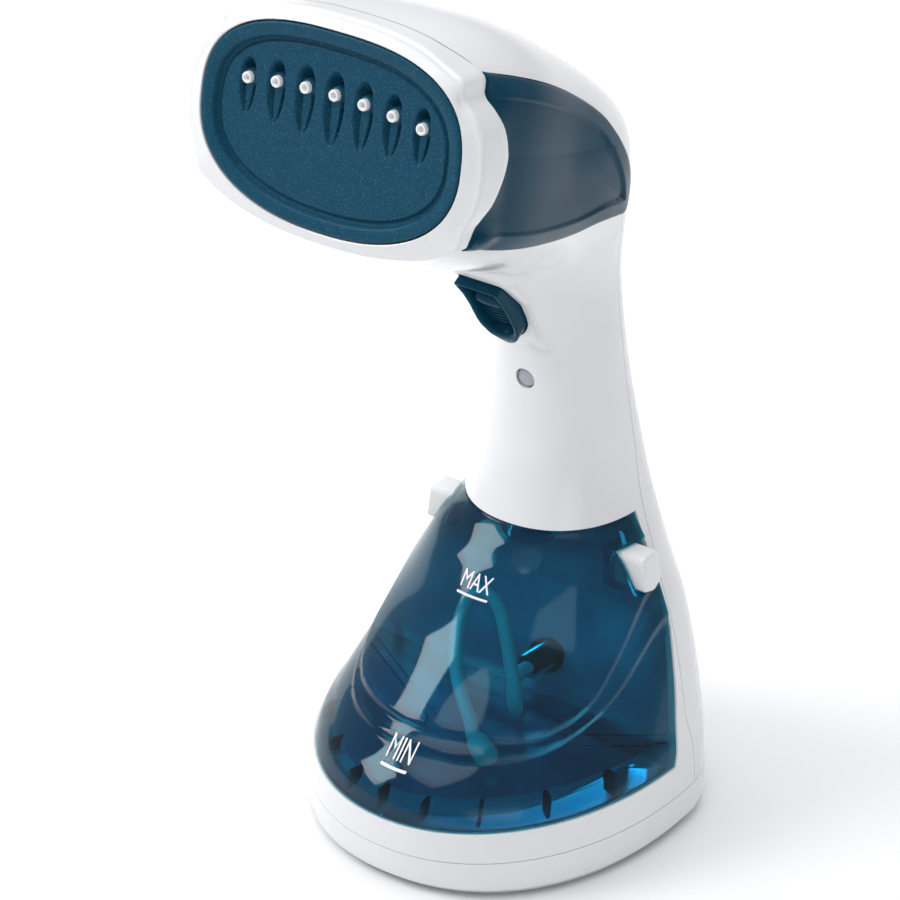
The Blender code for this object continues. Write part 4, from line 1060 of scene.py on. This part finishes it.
def build_tank_inside():
    """Suction hose and its weight."""
    route = [(4.0, 34.2, 38.0), (4.6, 27.0, 38.0), (10.0, 17.5, 38.0), (15.8, 10.5, 40.5), (17.2, 8.0, 46.5),
             (14.6, 10.0, 54.0), (9.0, 15.5, 61.5), (3.5, 20.5, 66.8), (-2.0, 21.5, 69.6), (-7.0, 20.0, 65.5),
             (-6.6, 14.5, 57.0), (-2.5, 7.5, 48.5), (3.5, 1.5, 44.0), (7.4, -1.4, 41.6), (10.1, -3.4, 38.5),
             (12.0, -4.7, 37.2)]
    hose = swept("tank_hose", curve_through(route, 12), 2.0, TEAL)
    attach(hose, "tank")
    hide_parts("suction_hose")
    profile = [(0, 0), (0, 2.4), (0.3, 2.8), (0.9, 3.5), (1.6, 3.6), (7.6, 3.6), (8.4, 3.4), (9.2, 2.9), (9.5, 2.4),
               (9.5, 0)]
    weight = turned("tank_hose_weight", (12.8, -5.2, 37.2), (0.82, -0.57, 0), profile, TEAL, 32)
    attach(weight, "tank")
    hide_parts("hose_weight")


def bevelled_prism(name, outline, place, near, far, bevel, material):
    """Prism of an outline with rolled edges at its far end."""
    rings = [place(outline, near, 0.0)]
    rings.append(place(outline, far - bevel, 0.0))
    for bend in np.linspace(0.2, 1, 5) * 0.5 * math.pi:
        rings.append(place(outline, far - bevel + bevel * math.sin(bend), bevel * (1 - math.cos(bend))))
    return ringed(name, rings, material)


def build_latches():
    """White press buttons at the tank's rear upper corners."""
    corners = ((-4.5, 4.6), (-3.6, 5.9), (3.4, 5.9), (4.6, 4.8), (4.7, -3.4), (3.9, -4.6), (0.9, -6.0), (-0.4, -6.0),
               (-3.9, -4.9), (-4.7, -3.9))
    dense = []
    for a, b in zip(corners, corners[1:] + corners[:1]):
        for share in (0.08, 0.36, 0.64, 0.92):
            dense.append((a[0] + (b[0] - a[0]) * share, a[1] + (b[1] - a[1]) * share))
    outline = np.array(dense)
    for side, sign in (("left", -1), ("right", 1)):

        def place(flat, x, shrink):
            radius = np.linalg.norm(flat, axis=1, keepdims=True)
            shape = flat * (1 - shrink / radius)
            tilt = 0.12 * shape[:, 1]
            reach = np.where(abs(x) > 30, x - tilt * (x > 30), x)
            return np.column_stack([sign * reach, 47.6 + shape[:, 0], 78.0 + shape[:, 1]])

        item = bevelled_prism("latch_button_" + side, outline, place, 28.0, 39.0, 0.9, WHITE)
        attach(item, "latch_button_" + side)
        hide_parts("latch_" + side)


# ---- trigger, lens, gland -------------------------------------------------------------


def trigger_face(t):
    """Height of the trigger's face along its side view."""
    return np.interp(t, (-18.6, -14.4, -9.5, -1.0, 5.0, 12.2), (-2.8, -1.5, -1.0, -0.3, 0.6, 2.4))


def build_trigger():
    """Hollow-faced trigger and the ribbed lock slider in it."""
    line = trigger_outline()
    inner = even_loop(((0.0, 10.6), (5.9, 10.5), (5.75, 2.0), (5.7, -6.0), (5.2, -9.6), (3.6, -12.2),
                       (1.5, -13.3), (0.0, -13.5)), 144, 3)

    def face_ring(flat, drop):
        return trigger_point(flat[:, 0], flat[:, 1], trigger_face(flat[:, 1]) - drop)

    def inset(loop, distance):
        return np.array(grown([tuple(p) for p in loop], -distance))

    rings = [trigger_point(line[:, 0], line[:, 1], -9.0)]
    rings += [face_ring(line, 1.2), face_ring(line, 0.4), face_ring(inset(line, 0.08), 0.12)]
    outer = inset(line, 0.3)
    rings += [face_ring(outer, 0.0)]
    rings += [face_ring(outer + (inner - outer) * share, 0.35 * share ** 2) for share in (0.3, 0.6, 0.85)]
    rings += [face_ring(inner, 0.6), face_ring(inset(inner, 0.15), 1.3)]
    for distance, depth in ((0.25, -4.6), (0.4, -6.4), (0.9, -6.9)):
        flat = inset(inner, distance)
        rings.append(trigger_point(flat[:, 0], np.maximum(flat[:, 1], -11.4), depth))
    item = ringed("trigger_shell", rings, PETROL, sharp=45.0)
    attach(item, "trigger_lever")
    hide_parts("trigger")

    profile = [(-8.4, -6.4), (-8.4, -4.4), (-8.0, -3.6)]
    for rib in range(5):
        base = -7.6 + 1.5 * rib
        crest = -2.0 + 0.12 * rib
        profile += [(base, crest - 1.3), (base + 0.5, crest - 0.1), (base + 0.85, crest), (base + 1.2, crest - 1.0)]
    profile += [(0.2, -2.2), (0.7, -1.0), (1.6, -0.6), (3.0, -0.7), (4.4, -1.5), (5.3, -3.0), (5.5, -6.4)]
    t, a = np.array(profile).T
    rings = []
    for x, drop in ((-4.9, 1.8), (-4.7, 1.0), (-4.0, 0.35), (-2.2, 0.06), (0.0, 0.0), (2.2, 0.06), (4.0, 0.35),
                    (4.7, 1.0), (4.9, 1.8)):
        rings.append(trigger_point(x, t, np.maximum(a - drop, -6.4)))
    slider = ringed("lock_button", rings, PETROL, sharp=30.0)
    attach(slider, "lock")
    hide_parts("lock_slider")


def build_small_parts():
    """Indicator lens and cord gland."""
    profile = [(4.4, 0), (4.4, 2.9), (0.75, 2.95), (0.45, 2.75), (0.2, 2.1), (0.06, 1.1), (0.0, 0.0)]
    lens = turned("indicator_window", (0, 37.35, 136), (0, 1, 0), profile, LENS, 48)
    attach(lens, "housing")
    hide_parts("indicator_lens")
    profile = [(0, 3.7), (0, 5.6), (7.7, 5.6), (7.7, 7.3), (8.0, 7.6), (9.0, 7.3), (9.6, 6.6), (9.9, 5.8),
               (10.35, 5.5), (10.6, 5.1), (10.6, 3.95), (10.4, 3.7)]
    gland = turned("cord_grommet", (0, 71.6, 24), (0, 1, 0), profile, RUBBER, 48, cyclic=True)
    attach(gland, "housing")
    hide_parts("cord_gland")


def dress_cad_nodes():
    """Give each node that stays visible, or hidden inside, its own procedural finish."""
    finishes = {
        "board": BOARD, "steel": STEEL, "brass": BRASS, "cast_chamber": CAST, "grey_rubber": RUBBER,
        "black_plastic": BLACK, "natural_plastic": NATURAL, "smoked_lens": LENS, "clear_hose": HOSE,
        "white_shell": WHITE, "petrol_trim": PETROL, "ceramic_plate": COATING, "clear_tank": CLEAR,
        "teal_silicone": TEAL,
    }
    for entry in frame["record"]["subparts"]:
        item = nodes[entry["node"]]
        item.data.materials.clear()
        item.data.materials.append(finishes[entry["material_slot"]])


# ---- stage ----------------------------------------------------------------------------


def build_stage():
    """Floor, lights, world and camera."""
    mesh = bpy.data.meshes.new("studio_floor")
    mesh.from_pydata([(-6, -6, 0), (6, -6, 0), (6, 6, 0), (-6, 6, 0)], [], [(0, 1, 2, 3)])
    floor = bpy.data.objects.new("studio_floor", mesh)
    bpy.context.scene.collection.objects.link(floor)
    material, shader = new_material("studio_paper", 0.85)
    paper = noise_of(material, 6.0, 2.0)
    tint = ramp_of(material, paper, "Fac", (0.86, 0.86, 0.865), (0.88, 0.88, 0.885))
    wire(material, tint, "Color", shader, "Base Color")
    mesh.materials.append(material)

    world = bpy.data.worlds.new("studio_world")
    bpy.context.scene.world = world
    world.use_nodes = True
    background = world.node_tree.nodes["Background"]
    background.inputs["Color"].default_value = (0.95, 0.97, 1.0, 1.0)
    background.inputs["Strength"].default_value = 0.45
    bpy.context.scene.view_settings.view_transform = "Standard"

    aim = Vector((0, 0, 0.14))
    for name, place, size, power in (("top", (-0.3, 0.2, 2.2), 2.6, 42.0), ("key", (-1.5, -0.9, 1.5), 1.0, 24.0),
                                     ("fill", (1.4, -1.2, 0.7), 1.0, 3.0)):
        light = bpy.data.lights.new(name, "AREA")
        light.energy = power
        light.size = size
        lamp = bpy.data.objects.new(name, light)
        bpy.context.scene.collection.objects.link(lamp)
        lamp.location = place
        lamp.rotation_euler = (aim - Vector(place)).to_track_quat("-Z", "Y").to_euler()

    camera_data = bpy.data.cameras.new("camera")
    camera_data.lens = 154.0
    camera_data.sensor_width = 36.0
    camera = bpy.data.objects.new("camera", camera_data)
    bpy.context.scene.collection.objects.link(camera)
    target = Vector((-0.0006, SHIFT * MM, 0.1293))
    away = Vector((0.49673, -0.70941, 0.5)).normalized()
    camera.location = target + away * 1.0959
    camera.rotation_euler = (-away).to_track_quat("-Z", "Y").to_euler()
    bpy.context.scene.camera = camera


build_stage()
build_housing()
build_bezel()
build_side_panels()
build_plate()
build_tank()
build_skirt_ribs()
build_tank_inside()
build_level_mark("MAX", -1.0, 73.9, 9.6, 4.1)
build_level_mark("MIN", -1.0, 36.9, 8.6, 4.1)
build_latches()
build_trigger()
build_small_parts()
dress_cad_nodes()
